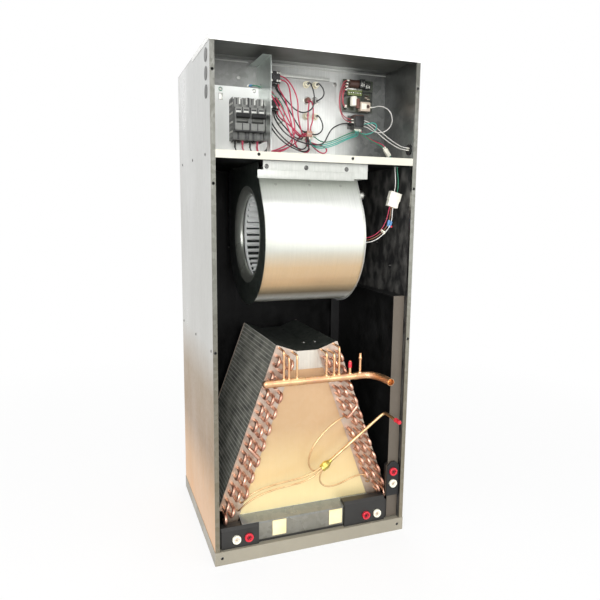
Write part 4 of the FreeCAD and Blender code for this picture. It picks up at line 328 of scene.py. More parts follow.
zincs = {
    # Inner faces of both side panels in a darker tone: painted shade
    "leftZinc": dict(stops=sideReflectionTones, edge=flangeEdge, inside=(-309.8, -309.2, tone(92, 92, 90))),
    "rightZinc": dict(stops=neutral, edge=flangeEdge, inside=(309.8, 309.2, tone(134, 135, 134))),
    "rearZinc": dict(stops=neutral, roughness=0.5),
    # Ceiling of the compartment: dark even tone, painted shade
    "shadedCeilingZinc": dict(stops=evenTone(84, 84, 80), metallic=0.4, roughness=0.46, streak=(1.2, 60, 60)),
    "plenumZinc": dict(stops=plenumLightAndShadeTones, axis="X", low=-300.0, high=300.0, roughness=0.42, metallic=0.4),
    "heaterZinc": dict(stops=heaterTones, low=1168.0, high=1460.0, roughness=0.44, metallic=0.4),
    "zinc": dict(stops=neutral, metallic=0.7),
    "bracketZinc": dict(stops=evenTone(178, 180, 174), metallic=0.4, roughness=0.42),
    "dividerZinc": dict(stops=dividerTones, low=1168.0, roughness=0.32),
    "blowerZinc": dict(stops=blowerReflectionBands, low=735.0, high=1135.0, streak=(110, 1.0, 1.0), metallic=0.6,
                       drawnShare=0.12, flakeShare=0.02),
    # Left blower side plate: dark tone, painted shade
    "shadedSideZinc": dict(stops=evenTone(52, 63, 56), metallic=0.6),
    "topZinc": dict(stops=evenTone(48, 56, 51), metallic=0.6, edge=(-205.4, evenTone(206, 200, 188))),
    # Inside of the blower wrap: dark tone, painted shade
    "shadedHollowZinc": dict(stops=evenTone(34, 44, 42), roughness=0.4, metallic=0.3),
    "mouthZinc": dict(stops=stopsOf((0.0, 150, 154, 144), (1.0, 178, 182, 174)), low=800.0, high=1110.0,
                      roughness=0.3, streak=(40, 4, 4), metallic=0.6),
    "wheelZinc": dict(stops=evenTone(248, 250, 248), roughness=0.4, metallic=0.1, drawnShare=0.05),
    "coilSheet": dict(stops=stopsOf((0.0, 194, 172, 150), (1.0, 192, 176, 162)), low=130.0, high=640.0,
                      roughness=0.36, metallic=0.7),
    "deltaSheet": dict(stops=deltaReflectionTones, low=118.0, high=580.0, roughness=0.42, metallic=0.6, drawnShare=0.04,
                       flakeShare=0.02),
    "railZinc": dict(stops=railReflectionTones, low=50.0, high=120.0, roughness=0.3, metallic=0.5),
    "screwSteel": dict(stops=evenTone(150, 150, 146)),
    "darkSteel": dict(stops=evenTone(70, 70, 68)),
    "lugMetal": dict(stops=evenTone(170, 170, 163), roughness=0.28),
}
painted = {
    "deckCream": dict(colour=tone(200, 198, 184), inside=(1167.4, -264.6, 330.0, tone(8, 8, 8))),
    # Underside of the top cap in dark grey: painted shade
    "capWhite": dict(colour=tone(238, 238, 235), inside=(1472.4, -265.9, 310.2, tone(80, 81, 76))),
    "baseKhaki": dict(colour=tone(150, 144, 128), roughness=0.36),
    "plateWhite": dict(colour=tone(250, 252, 248)),
    "motorPaint": dict(colour=tone(168, 169, 168)),
}
# Colour, roughness, then the grain's scale and a band of another tone where there is one
plastics = {
    "caseGrey": ((84, 85, 82), 0.45), "caseBlack": ((26, 26, 26), 0.36), "faceGrey": ((112, 113, 109), 0.5),
    "leverTones": ((112, 113, 109), 0.45, 600.0, (-155.0, -190.0, tone(22, 22, 22))),
    "facePale": ((196, 196, 190), 0.5), "panBlack": ((32, 31, 29), 0.5, 300.0),
    # Side drain pan: black plastic made darker still as painted shade, a lighter brown along its front edge
    "sidePan": ((10, 10, 10), 0.55, 300.0, (-249.4, -253.0, tone(88, 80, 70))),
    "capRed": ((196, 32, 50), 0.35), "plugDark": ((92, 16, 26), 0.4), "plugCream": ((230, 228, 214), 0.4),
    "drainWhite": ((226, 224, 206), 0.4), "ceramic": ((218, 212, 188), 0.55, 900.0),
    "limitBrown": ((104, 66, 54), 0.45), "limitGrey": ((150, 150, 146), 0.45),
    "spliceOrange": ((172, 128, 112), 0.5), "coilBrown": ((66, 44, 37), 0.5), "beige": ((190, 174, 158), 0.5),
    "stripGreen": ((112, 122, 76), 0.45), "rubber": ((34, 34, 35), 0.7), "crimpBlue": ((84, 132, 178), 0.3),
    "crimpRed": ((206, 44, 52), 0.3),
}
# Roughness, bright metal, oxide and spots
coppers = {
    "copper": (0.36, (218, 176, 154), (190, 142, 122), (128, 96, 84)),
    "brazedCopper": (0.32, (230, 190, 142), (208, 160, 122), (186, 156, 160)),
    "paleCopper": (0.34, (220, 186, 142), (196, 158, 116), (160, 124, 98)),
    "brass": (0.24, (214, 196, 110), (184, 164, 84), (122, 108, 60)),
}
wireColours = {
    "wireRed": (190, 46, 82), "wireBlack": (32, 32, 32), "wireGreen": (34, 140, 104),
    "wireTeal": (70, 180, 164), "wirePink": (176, 78, 88), "wireWhite": (230, 228, 222),
    "wireBrown": (140, 92, 62),
}
paints = {"foil": foilLiner("foil"), "fin": finStock("fin"), "board": lacqueredBoard("board"),
          "foam": foamSkin("foam", tone(240, 228, 186))}
paints.update({name: zincSheet(name, **look) for name, look in zincs.items()})
paints.update({name: paintedSheet(name, **look) for name, look in painted.items()})
paints.update({name: mouldedPlastic(name, tone(*colour), *rest)
               for name, (colour, *rest) in plastics.items()})
paints.update({name: copperTube(name, rough, *(tone(*each) for each in colours))
               for name, (rough, *colours) in coppers.items()})
paints.update({name: wireCoat(name, tone(*colour)) for name, colour in wireColours.items()})
print("finishes", len(paints))

dressed = {
    "leftZinc": ["left_side_panel"], "rightZinc": ["right_side_panel"], "rearZinc": ["rear_panel"],
    "baseKhaki": ["base_frame"], "capWhite": ["top_cap"], "shadedCeilingZinc": ["supply_frame"],
    "plenumZinc": ["plenum_wall"], "heaterZinc": ["heater_plate"], "bracketZinc": ["blower_bracket"],
    "zinc": ["heater_rack", "motor_mount", "blower_cutoff", "wheel_hub"], "deckCream": ["blower_deck"],
    "plateWhite": ["breaker_plate"], "dividerZinc": ["breaker_divider"], "foil": ["cabinet_liners"],
    "darkSteel": ["hole_plugs", "motor_shaft", "heating_elements"], "topZinc": ["coil_top_plate"],
    "coilSheet": ["tube_sheets"], "deltaSheet": ["delta_plates"], "railZinc": ["pan_front_rail"],
    "panBlack": ["drain_pan"], "sidePan": ["side_drain_pan"], "caseGrey": ["breaker_bodies"],
    "leverTones": ["breaker_1_lever", "breaker_2_lever"], "caseBlack": ["heat_sequencers"],
    "rubber": ["wire_grommet"], "motorPaint": ["motor_body"], "board": ["control_board"],
}
for finish, names in dressed.items():
    for name in names:
        for slot in nodes[name].material_slots:
            slot.material = paints[finish]

# Shapes: a mesh is gathered piece by piece, then finished as one object


def addFaces(shape, before, tint):
    for face in shape.faces:
        if face not in before:
            face.material_index = tint
            face.smooth = True


def addBlock(shape, low, high, soft=0.0, tint=0, turn=Matrix.Identity(4), place=(0, 0, 0)):
    # A block between two corners, turned about the origin and then moved to its place
    before = set(shape.faces)
    middle, extent = (spot(low) + spot(high)) / 2, spot(high) - spot(low)
    moved = Matrix.Translation(spot(place)) @ turn @ Matrix.Translation(middle)
    made = bmesh.ops.create_cube(shape, size=1.0, matrix=moved @ Matrix.Diagonal((*extent, 1.0)))
    if soft:
        edges = list({edge for vert in made["verts"] for edge in vert.link_edges})
        bmesh.ops.bevel(shape, geom=edges, offset=soft * mm, segments=2, profile=0.6, affect="EDGES")
    addFaces(shape, before, tint)


def ringAt(shape, centre, aside, over, radius, sides):
    turns = [2 * math.pi * k / sides for k in range(sides)]
    ways = [aside * math.cos(turn) + over * math.sin(turn) for turn in turns]
    return [shape.verts.new((centre + way * radius) * mm) for way in ways]


def addRings(shape, rings, closed, tint):
    # Skin between rings, with a flat at both ends where it is closed
    before = set(shape.faces)
    for first, second in zip(rings, rings[1:]):
        for k in range(len(first)):
            shape.faces.new((first[k - 1], first[k], second[k], second[k - 1]))
    if closed:
        shape.faces.new(list(reversed(rings[0])))
        shape.faces.new(rings[-1])
    addFaces(shape, before, tint)


def framesAlong(line):
    # Axes that turn as little as they can along a line
    ways = [(after - before).normalized() for before, after in zip(line, line[1:])]
    tangents = [ways[0], *((one + two).normalized() for one, two in zip(ways, ways[1:])), ways[-1]]
    aside = tangents[0].orthogonal().normalized()
    frames = []
    for tangent in tangents:
        aside = (aside - tangent * aside.dot(tangent)).normalized()
        frames.append((aside, tangent.cross(aside)))
    return frames


def addTube(shape, line, radius, sides=12, tint=0, closed=True):
    line = [Vector(place) for place in line]
    rings = [ringAt(shape, place, *axes, radius, sides) for place, axes in zip(line, framesAlong(line))]
    addRings(shape, rings, closed, tint)


def addTurned(shape, start, along, profile, sides=24, tint=0, ends=True):
    # Profile of (distance along, radius) about a line, closed by flats unless it comes back to its start
    start, along = Vector(start), Vector(along).normalized()
    aside = along.orthogonal().normalized()
    over = along.cross(aside)
    least = 0.01
    rings = [ringAt(shape, start + along * reach, aside, over, max(radius, least), sides)
             for reach, radius in profile]
    addRings(shape, rings, ends and profile[0] != profile[-1], tint)


def fillSpline(curve, places, steps):
    curve.dimensions = "3D"
    spline = curve.splines.new("NURBS")
    spline.points.add(len(places) - 1)
    for control, place in zip(spline.points, places):
        control.co = (*spot(place), 1.0)
    spline.order_u = 3
    spline.use_endpoint_u = True
    spline.resolution_u = steps


def smoothLine(places, steps=6):
    # Points along the smooth spline that a pipe follows
    curve = bpy.data.curves.new("guide", "CURVE")
    fillSpline(curve, places, steps)
    guide = linked("guide", curve)
    mesh = bpy.data.meshes.new_from_object(guide)
    line = [vert.co / mm for vert in mesh.vertices]
    bpy.data.objects.remove(guide)
    bpy.data.meshes.remove(mesh)
    return line


def settle(piece, body, replaced=()):
    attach(piece, body)
    if replaced:
        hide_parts(*replaced)
    return piece


def keepShape(shape, name, finishes, body, replaced=(), sharp=sharpEdge):
    bmesh.ops.recalc_face_normals(shape, faces=shape.faces)
    mesh = bpy.data.meshes.new(name)
    shape.to_mesh(mesh)
    shape.free()
    mesh.set_sharp_from_angle(angle=math.radians(sharp))
    for finish in finishes:
        mesh.materials.append(paints[finish])
    return settle(linked(name, mesh), body, replaced)


# Camera at the photograph's place

view = {"place": (-620.4, -1789.5, 1027.0), "yaw": 20.311, "pitch": 8.71, "roll": -0.634, "lens": 34.378,
        "sensor": 36.0}


def aimCamera():
    yaw, pitch, roll = (math.radians(view[word]) for word in ("yaw", "pitch", "roll"))
    ahead = Vector((math.sin(yaw) * math.cos(pitch), math.cos(yaw) * math.cos(pitch), -math.sin(pitch)))
    right = Vector((math.cos(yaw), -math.sin(yaw), 0.0))
    down = ahead.cross(right)
    across = right * math.cos(roll) + down * math.sin(roll)
    below = down * math.cos(roll) - right * math.sin(roll)
    lens = bpy.data.cameras.new("camera")
    lens.sensor_width = view["sensor"]
    lens.lens = view["lens"]
    scene.camera = linked("camera", lens)
    turned = Matrix((across, -below, -ahead)).transposed().to_4x4()
    scene.camera.matrix_world = Matrix.Translation(spot(view["place"])) @ turned


aimCamera()
print("camera set")

# Wires: one smooth curve each, on the routes of the part's source

wireSets = {
    "red_wires": {"radius": 2.0, "slot": "wire_red", "coats": ["wireRed"] * 10, "routes": [
        [(-63, -78, 1430), (-49, -78, 1430), (-36, -95, 1413), (-22, -110, 1384), (-12, -113, 1350),
         (-14, -113, 1316), (-6, -110, 1287), (6, -96, 1268), (16, -82, 1261), (28, -82, 1261)],
        [(-63, -82, 1418), (-49, -82, 1418), (-40, -94, 1408), (-38, -110, 1386), (-38, -119, 1354),
         (-32, -120, 1314), (-24, -120, 1280), (-27, -120, 1250), (-46, -120, 1227), (-78, -120, 1211),
         (-115, -120, 1200), (-150, -119, 1194), (-172, -112, 1197), (-182.4, -104.3, 1206),
         (-182.4, -104.3, 1220)],
        [(-66, -86, 1404), (-66, -86, 1392), (-60, -101, 1376), (-54, -120, 1352), (-48, -128, 1320),
         (-38, -128, 1286), (-32, -128, 1250), (-24, -128, 1222), (-6, -128, 1207), (14, -121, 1206),
         (27, -108, 1214), (33, -92, 1222), (33, -78, 1230), (33, -64, 1243), (33, -64, 1258)],
        [(-137.3, -104.3, 1220), (-137.3, -104.3, 1208), (-128, -101, 1199), (-104, -99, 1201),
         (-72, -98, 1209), (-42, -97, 1218), (-14, -94, 1234), (4, -82, 1254), (15, -68, 1266),
         (28, -68, 1266)],
        [(33, -72.7, 1365), (33, -83, 1365), (31, -91, 1357), (28, -93, 1341), (27, -92, 1318),
         (29, -88, 1299), (33, -79, 1288), (33, -79, 1276)],
        [(40, -72.7, 1365), (40, -83, 1365), (42, -91, 1357), (44, -93, 1341), (44, -92, 1318),
         (43, -88, 1299), (41, -79, 1288), (41, -79, 1276)],
        [(-93, -80, 1404), (-93, -80, 1392), (-88, -100, 1374), (-76, -118, 1350), (-60, -126, 1318),
         (-44, -126, 1290), (-28, -118, 1268), (-8, -104, 1256), (12, -88, 1254),
         (20, -72, 1260), (28, -72, 1260)],
        [(-101, -80, 1404), (-101, -80, 1392), (-96, -104, 1372), (-84, -124, 1340), (-66, -134, 1304),
         (-50, -136, 1268), (-36, -134, 1240), (-40, -130, 1222), (-66, -128, 1206), (-104, -126, 1196),
         (-134, -121, 1192), (-140, -108, 1204), (-140, -108, 1220)],
        [(42, -64, 1258), (42, -66, 1246), (48, -88, 1226), (60, -112, 1208), (76, -120, 1206),
         (82, -118, 1220), (70, -106, 1230), (52, -92, 1236), (36, -74, 1244), (36, -72, 1258)],
        [(-67, -80, 1328), (-67, -80, 1316), (-60, -98, 1302), (-46, -114, 1288), (-26, -120, 1272),
         (-6, -114, 1256), (10, -98, 1254), (18, -78, 1266), (28, -76, 1268)]]},
    "black_wires": {"radius": 2.0, "slot": "wire_black", "coats": ["wireBlack"] * 10, "routes": [
        [(-204.7, -104.3, 1220), (-204.7, -104.3, 1208), (-200, -118, 1197), (-168, -130, 1192),
         (-134, -130, 1194), (-112, -124, 1208), (-104, -112, 1238), (-102, -94, 1272), (-100, -76, 1302),
         (-100, -76, 1328)],
        [(-159.6, -104.3, 1220), (-159.6, -104.3, 1208), (-150, -109, 1199), (-126, -110, 1197),
         (-106, -108, 1208), (-96, -102, 1232), (-89, -92, 1266), (-85, -78, 1300), (-85, -78, 1328)],
        [(32, -79.7, 1416), (32, -91, 1416), (34, -101, 1408), (40, -104, 1390), (44, -104, 1364),
         (38, -103, 1338), (14, -102, 1324), (-12, -101, 1328), (-32, -97, 1346), (-54, -81, 1376),
         (-66, -72, 1390), (-66, -72, 1404)],
        [(62, -79.7, 1416), (62, -91, 1416), (65, -100, 1409), (72, -104, 1398), (76, -102, 1384),
         (72, -94, 1373), (62, -84, 1367), (62, -72.7, 1367)],
        [(-74, -80, 1404), (-74, -80, 1392), (-66, -94, 1376), (-46, -104, 1342), (-24, -104, 1308),
         (-4, -98, 1284), (14, -80, 1272), (28, -80, 1272)],
        [(-92, -78, 1328), (-92, -78, 1314), (-93, -96, 1298), (-92, -118, 1278), (-82, -134, 1258),
         (-62, -138, 1238), (-40, -138, 1224), (-18, -136, 1214), (0, -126, 1214), (14, -110, 1221),
         (24, -91, 1230), (31, -78, 1243), (31, -78, 1258)],
        [(-78, -78, 1328), (-78, -78, 1314), (-79, -98, 1300), (-78, -120, 1284), (-70, -138, 1264),
         (-50, -146, 1246), (-22, -147, 1234), (8, -147, 1228), (40, -145, 1226), (64, -140, 1235),
         (76, -132, 1257), (96, -120, 1282), (126, -106, 1297), (152, -92, 1304), (174, -74, 1306),
         (188, -74, 1306)],
        [(-96, -70, 1328), (-96, -70, 1316), (-98, -92, 1298), (-96, -116, 1270), (-80, -132, 1244),
         (-56, -138, 1224), (-30, -140, 1212), (-4, -134, 1206), (16, -120, 1210), (28, -102, 1222),
         (35, -80, 1242), (35, -70, 1258)],
        [(62, -79.7, 1322), (62, -90, 1322), (66, -98, 1312), (74, -98, 1296), (76, -94, 1280),
         (68, -84, 1268), (56, -74, 1266), (46, -74, 1266)],
        [(-70, -72, 1328), (-70, -72, 1316), (-64, -92, 1298), (-52, -112, 1276), (-36, -122, 1256),
         (-16, -120, 1244), (4, -106, 1246), (16, -84, 1262), (28, -64, 1272)]]},
    "control_wires": {"radius": 1.5, "slot": "wire_mixed", "coats": [
        "wireGreen", "wirePink", "wirePink", "wireWhite", "wireWhite", "wireWhite", "wireGreen", "wireRed",
        "wireTeal", "wireTeal", "wireTeal", "wireGreen", "wireTeal", "wirePink", "wirePink"], "routes": [
        [(-150, -56.5, 1397), (-150, -66, 1397), (-141, -82, 1396), (-126, -94, 1391), (-110, -102, 1381),
         (-92, -110, 1370), (-74, -112, 1357), (-60, -111, 1338), (-52, -104, 1318), (-52, -86, 1300),
         (-52, -70, 1296), (-52, -57.7, 1296)],
        [(164, -84, 1426), (152, -84, 1426), (141, -91, 1410), (133, -94, 1386), (131, -95, 1360),
         (137, -92, 1338), (152, -84, 1325), (174, -76, 1320), (188, -76, 1320)],
        [(164, -80, 1418), (154, -80, 1418), (146, -85, 1403), (143, -86, 1385), (144, -83, 1371),
         (152, -76, 1361), (164, -76, 1361)],
        [(244, -76, 1361), (256, -76, 1361), (266, -96, 1364), (280, -118, 1357), (291, -132, 1340),
         (296, -136, 1316), (289, -134, 1293), (271, -128, 1279), (252, -122, 1277), (243, -107, 1283),
         (240, -90, 1292), (234, -74, 1301), (220, -74, 1301)],
        [(220, -68, 1314), (234, -68, 1314), (247, -88, 1298), (258, -112, 1277), (270, -138, 1256),
         (282, -164, 1238), (290, -196, 1223), (297, -219, 1217), (309, -219, 1217)],
        [(220, -64, 1322), (236, -64, 1322), (252, -86, 1306), (264, -112, 1286), (276, -138, 1264),
         (286, -164, 1246), (293, -196, 1230), (297, -222, 1223), (309, -222, 1223)],
        [(212, -74, 1292), (212, -74, 1281), (222, -92, 1268), (238, -112, 1252), (253, -130, 1240),
         (262.3, -140, 1232.1), (268.1, -140, 1223.9)],
        [(218, -70, 1292), (218, -70, 1280), (229, -90, 1266), (245, -112, 1252), (259, -131, 1243),
         (267.3, -140, 1235.6), (273, -140, 1227.4)],
        [(198, -74, 1292), (198, -74, 1281), (188, -92, 1274), (168, -108, 1268), (136, -118, 1256),
         (104, -121, 1242), (76, -120, 1233), (58, -112, 1231), (48, -98, 1232), (45, -84, 1236),
         (44, -68, 1246), (44, -68, 1258)],
        [(206, -74, 1292), (206, -74, 1280), (196, -94, 1268), (172, -112, 1261), (140, -124, 1249),
         (107, -129, 1233), (77, -129, 1223), (56, -123, 1220), (43, -109, 1224), (39, -94, 1234),
         (38, -80, 1246), (38, -80, 1258)],
        [(202, -72, 1292), (202, -72, 1280), (190, -90, 1270), (170, -106, 1263), (138, -116, 1251),
         (106, -119, 1237), (78, -118, 1228), (58, -110, 1226), (46, -96, 1229),
         (41, -80, 1240), (41, -66, 1258)],
        [(194, -74, 1292), (194, -74, 1283), (182, -94, 1279), (160, -112, 1272), (128, -124, 1259),
         (98, -128, 1245), (74, -124, 1238), (60, -108, 1244), (56, -84, 1256), (46, -76, 1264)],
        [(216, -66, 1292), (216, -68, 1281), (230, -88, 1274), (250, -102, 1282), (260, -104, 1300),
         (252, -94, 1313), (236, -76, 1309), (220, -72, 1308)],
        [(164, -90, 1434), (150, -90, 1434), (136, -98, 1414), (126, -102, 1386), (126, -102, 1356),
         (134, -98, 1332), (150, -88, 1316), (174, -78, 1311), (188, -78, 1311)],
        [(164, -76, 1408), (156, -76, 1408), (149, -82, 1396), (147, -84, 1380), (150, -80, 1366),
         (156, -74, 1357), (164, -74, 1357)]]},
    "motor_leads": {"radius": 1.3, "slot": "wire_mixed", "coats": [
        "wireWhite", "wireGreen", "wireBrown", "wireRed", "wireWhite"], "routes": [
        [(283, -140, 1202.6), (291, -140, 1191.2), (288, -162, 1182), (281, -186, 1178), (274, -200, 1166),
         (274, -203, 1146), (275, -205, 1124), (274.8, -205, 1103), (271.5, -205, 1091.5)],
        [(287.9, -140, 1206.1), (296, -140, 1194.6), (295, -162, 1189), (288, -186, 1185), (281, -200, 1172),
         (282, -203, 1150), (284.5, -205, 1126), (284.5, -205, 1100.3), (281.2, -205, 1088.7)],
        [(263.7, -205, 1045.9), (260.9, -205, 1036.3), (260, -206, 1018), (254, -206, 994), (238, -204, 970),
         (212, -198, 950), (190, -182, 942), (184, -150, 944), (180, -118, 948), (172, -94, 951),
         (156, -94, 951)],
        [(257.9, -205, 1047.5), (255.1, -205, 1037.9), (254, -201, 1020), (248, -199, 998), (234, -198, 975),
         (211, -192, 956), (191, -176, 949), (186, -146, 951), (182, -116, 955), (173, -92, 958),
         (156, -92, 958)],
        [(269.4, -205, 1044.2), (266.7, -205, 1034.6), (265, -210, 1014), (258, -212, 989), (240, -210, 965),
         (212, -204, 943), (188, -188, 935), (181, -154, 937), (177, -120, 941), (171, -96, 944),
         (156, -96, 944)]]},
}


def runWires():
    steps = 12
    count = 0
    for node, group in wireSets.items():
        for k, (route, colour) in enumerate(zip(group["routes"], group["coats"])):
            name = f"{node}_{k + 1}"
            line = smoothLine(route, steps)
            curve = bpy.data.curves.new(name, "CURVE")
            fillSpline(curve, route, steps)
            curve.bevel_depth = group["radius"] * mm
            curve.bevel_resolution = 3
            curve.use_fill_caps = True
            curve.materials.append(paints[colour])
            wire = settle(linked(name, curve), cabinet, [node])
            count += 1
    print("wires", count)


runWires()

# Coil: places of its tubes, then the refrigerant lines in smooth copper

coil = {"lean": math.atan2(179.9, 494.3), "offset": 9.0, "foot": 277.0, "rise": 140.0, "thickness": 66.0,
        "length": 526.0, "front": -205.0, "rows": 3, "pitch": 25.4, "bends": 10}
pipes = {"front": -247.0, "level": 531.0, "header": 11.1, "tube": 4.76, "drop": 3.6, "capillary": 2.4,
         "face": -206.5}


def slabSpot(side, inward, along):
    # A place on a slab's end, into the slab and up along it
    lean = coil["lean"]
    x = -coil["offset"] + side * (coil["foot"] - inward * math.cos(lean) - along * math.sin(lean))
    return x, coil["rise"] + along * math.cos(lean) - inward * math.sin(lean)


def tubeSpot(side, row, index):
    shift = 0.5 if row % 2 else 0.0
    inward = coil["thickness"] / coil["rows"] * (row + 0.5)
    return slabSpot(side, inward, coil["pitch"] * (index + 0.5 + shift))


header = {"start": -152, "turn": 206, "stub": -342, "stems": ((116, 38), (150, 60)), "bands": (-40, 40, 130)}


def suctionHeader():
    front, level, pipe = pipes["front"], pipes["level"], pipes["header"]
    start, turn, stub = header["start"], header["turn"], header["stub"]
    bright, pale = range(2)
    shape = bmesh.new()
    # Pipe across the coil, domed at its left end, turned forward to the open stub
    run = [(x, front, level) for x in (start, -60, 40, 112, turn)]
    addTube(shape, smoothLine([*run, (turn, stub, level)], 14), pipe, 28, bright, False)
    dome = [(0.0, pipe), (-4.0, pipe - 0.6), (-8.0, pipe - 3.0), (-10.4, pipe - 6.5), (-11.0, 0.0)]
    addTurned(shape, (start, front, level), rightward, dome, 28)
    mouth = [(0.0, pipe), (0.0, pipe - 1.0), (30.0, pipe - 1.0), (30.0, 0.0)]
    addTurned(shape, (turn, stub, level), backward, mouth, 28, bright, False)
    for x, rise in header["stems"]:
        stem = [(9.0, 7.0), (11.6, 6.2), (13.0, 4.0), (pipe + rise, 4.0)]
        addTurned(shape, (x, front, level), upward, stem, 16)
    valve = [(0.0, 4.0), (2.0, 5.4), (8.0, 5.4), (10.0, 4.4), (21.1, 3.6)]
    addTurned(shape, (150, front, level + 50), upward, valve, 12)
    for side in (-1, 1):
        for row in range(coil["rows"]):
            x, z = tubeSpot(side, row, coil["bends"] * 2 - row % 2)
            drop = [(pipes["face"], z), (front + 22, z), (front + 4, z), (front, z - 6), (front, z - 24),
                    (front, level + 30), (front, level + 9)]
            addTube(shape, smoothLine([(x, *place) for place in drop]), pipes["drop"])
            addTurned(shape, (x, front, level), upward, [(9.0, 6.6), (12.0, 5.6), (14.5, 3.7)], 14, pale)
    for x in header["bands"]:
        band = [(0.0, pipe), (2.0, pipe + 0.4), (8.0, pipe + 0.4), (10.0, pipe)]
        addTurned(shape, (x, front, level), rightward, band, 28, pale)
    keepShape(shape, "suctionHeader", ["brazedCopper", "paleCopper"], cabinet, ["suction_header"])


liquid = {"tip": (60, 268), "end": (240, 402), "way": (-180.0, 0.0, -134.0)}


def liquidParts():
    front, end = pipes["front"], liquid["end"]
    tip = Vector((liquid["tip"][0], front, liquid["tip"][1]))
    shape = bmesh.new()
    run = [tip, (120, front, 312.7), (206, front, 376.7)]
    run += [(end[0], depth, end[1]) for depth in (front, front - 26, -344)]
    addTube(shape, smoothLine(run, 10), pipes["tube"], 16)
    keepShape(shape, "liquidLine", ["paleCopper"], cabinet, ["liquid_line"])
    shape = bmesh.new()
    along = Vector(liquid["way"]).normalized()
    neck = [(0.0, 5.76), (7.0, 5.76), (8.0, 7.2), (10.0, 7.6), (11.0, 8.6), (18.0, 11.6)]
    nut = [(0.0, 11.4), (1.0, 12.6), (11.0, 12.6), (12.0, 11.4)]
    head = [(0.0, 10.4), (3.0, 11.6), (9.5, 11.6), (11.0, 10.0)]
    for reach, profile, sides in ((0, neck, 20), (18, nut, 6), (29, head, 24)):
        addTurned(shape, tip + along * reach, along, profile, sides)
    keepShape(shape, "brassDistributor", ["brass"], cabinet, ["distributor"], 25.0)
    shape = bmesh.new()
    cap = [(0.0, 0.0), (0.2, 4.6), (1.4, 5.9), (3.0, 6.36), (20.0, 6.1), (24.0, 6.1), (24.4, 7.0),
           (26.0, 7.0), (26.0, 4.8)]
    addTurned(shape, (end[0], -345.6, end[1]), backward, cap, 20)
    small = [(0.0, 4.1), (0.0, 6.2), (1.6, 6.2), (2.0, 5.6), (16.0, 5.4), (20.0, 3.4), (21.4, 1.6),
             (22.0, 0.0)]
    addTurned(shape, (116, front, 559.7), upward, small, 18)
    keepShape(shape, "redLineCaps", ["capRed"], cabinet, ["line_caps"])


def capillaryTubes():
    routes = {
        (-1, 1): [(24.9, -247, 248.1), (8, -247, 238), (-30, -244, 224), (-70, -241, 218), (-112, -240, 214),
                  (-156, -240, 207), (-194, -238, 194), (-216, -233, 172)],
        (-1, 0): [(27.9, -252, 244.1), (6, -253, 228), (-30, -251, 213), (-72, -249, 207), (-114, -248, 203),
                  (-158, -246, 194), (-200, -243, 176), (-226, -234, 150)],
        (1, 1): [(30.9, -247, 240.1), (20, -247, 220), (25, -246, 196), (47, -245, 180), (78, -244, 180),
                 (108, -243, 188), (140, -241, 198), (170, -240, 202), (194, -238, 190), (204, -230, 170)],
        (1, 11): [(27.9, -242, 244.1), (13, -241, 234), (-6, -238, 243), (-13, -236, 268), (-4, -235, 302),
                  (20, -235, 337), (52, -235, 368), (88, -234, 391), (111, -227, 397)],
    }
    shape = bmesh.new()
    for (side, index), route in routes.items():
        x, z = tubeSpot(side, 2, index)
        landing = [(x, pipes["face"] - 10, z), (x, pipes["face"], z)]
        addTube(shape, smoothLine([*route, *landing], 8), pipes["capillary"], 10)
    keepShape(shape, "capillaryTubes", ["paleCopper"], cabinet, ["capillary_tubes"])


def crossTubes():
    # Two tubes that cross from the outer to the inner row
    shape = bmesh.new()
    face = pipes["face"]
    reach = face - 34
    for side, first, last in ((-1, 8, 7), (1, 12, 11)):
        start, end = Vector(tubeSpot(side, 0, first)), Vector(tubeSpot(side, 2, last))
        between = (start + end) / 2
        run = [(start, face), (start, reach + 12), (start, reach), (between, reach - 2), (end, reach),
               (end, reach + 12), (end, face)]
        addTube(shape, smoothLine([(place.x, depth, place.y) for place, depth in run], 8), pipes["tube"])
    keepShape(shape, "crossTubes", ["copper"], cabinet, ["return_bends"])


suctionHeader()
liquidParts()
capillaryTubes()
crossTubes()
print("copper lines")

# Repeated pieces from Geometry Nodes


def newTree(name, inputs):
    tree = bpy.data.node_groups.new(name, "GeometryNodeTree")
    tree.interface.new_socket("Geometry", in_out="INPUT", socket_type="NodeSocketGeometry")
    kinds = {bpy.types.Material: "NodeSocketMaterial", int: "NodeSocketInt", float: "NodeSocketFloat"}
    for word, amount in inputs.items():
        tree.interface.new_socket(word, in_out="INPUT", socket_type=kinds[type(amount)])
    tree.interface.new_socket("Geometry", in_out="OUTPUT", socket_type="NodeSocketGeometry")
    return tree, addNode(tree, "NodeGroupInput").outputs


def geoNode(tree, kind, links=None, **settings):
    return addNode(tree, "GeometryNode" + kind, links, **settings).outputs[0]


def vectorOf(tree, **parts):
    return addNode(tree, "ShaderNodeCombineXYZ", parts).outputs[0]


def wayOf(tree):
    return geoNode(tree, "InputNamedAttribute", {"Name": "way"}, data_type="FLOAT_VECTOR")


def eulerOf(tree, angles):
    return addNode(tree, "FunctionNodeEulerToRotation", {0: angles}).outputs[0]


def copiesOn(tree, points, instance, **turn):
    return geoNode(tree, "InstanceOnPoints", {"Points": points, "Instance": instance, **turn})


def moved(tree, geometry, **parts):
    return geoNode(tree, "Transform", {"Geometry": geometry, "Translation": vectorOf(tree, **parts)})


def joined(tree, *parts):
    whole = addNode(tree, "GeometryNodeJoinGeometry")
    for part in parts:
        tree.links.new(part, whole.inputs[0])
    return whole.outputs[0]


def closeTree(tree, geometry, finish):
    real = geoNode(tree, "RealizeInstances", {"Geometry": geometry})
    smooth = geoNode(tree, "SetShadeSmooth", {"Geometry": real})
    coated = geoNode(tree, "SetMaterial", {"Geometry": smooth, "Material": finish})
    addNode(tree, "NodeGroupOutput", {"Geometry": coated})


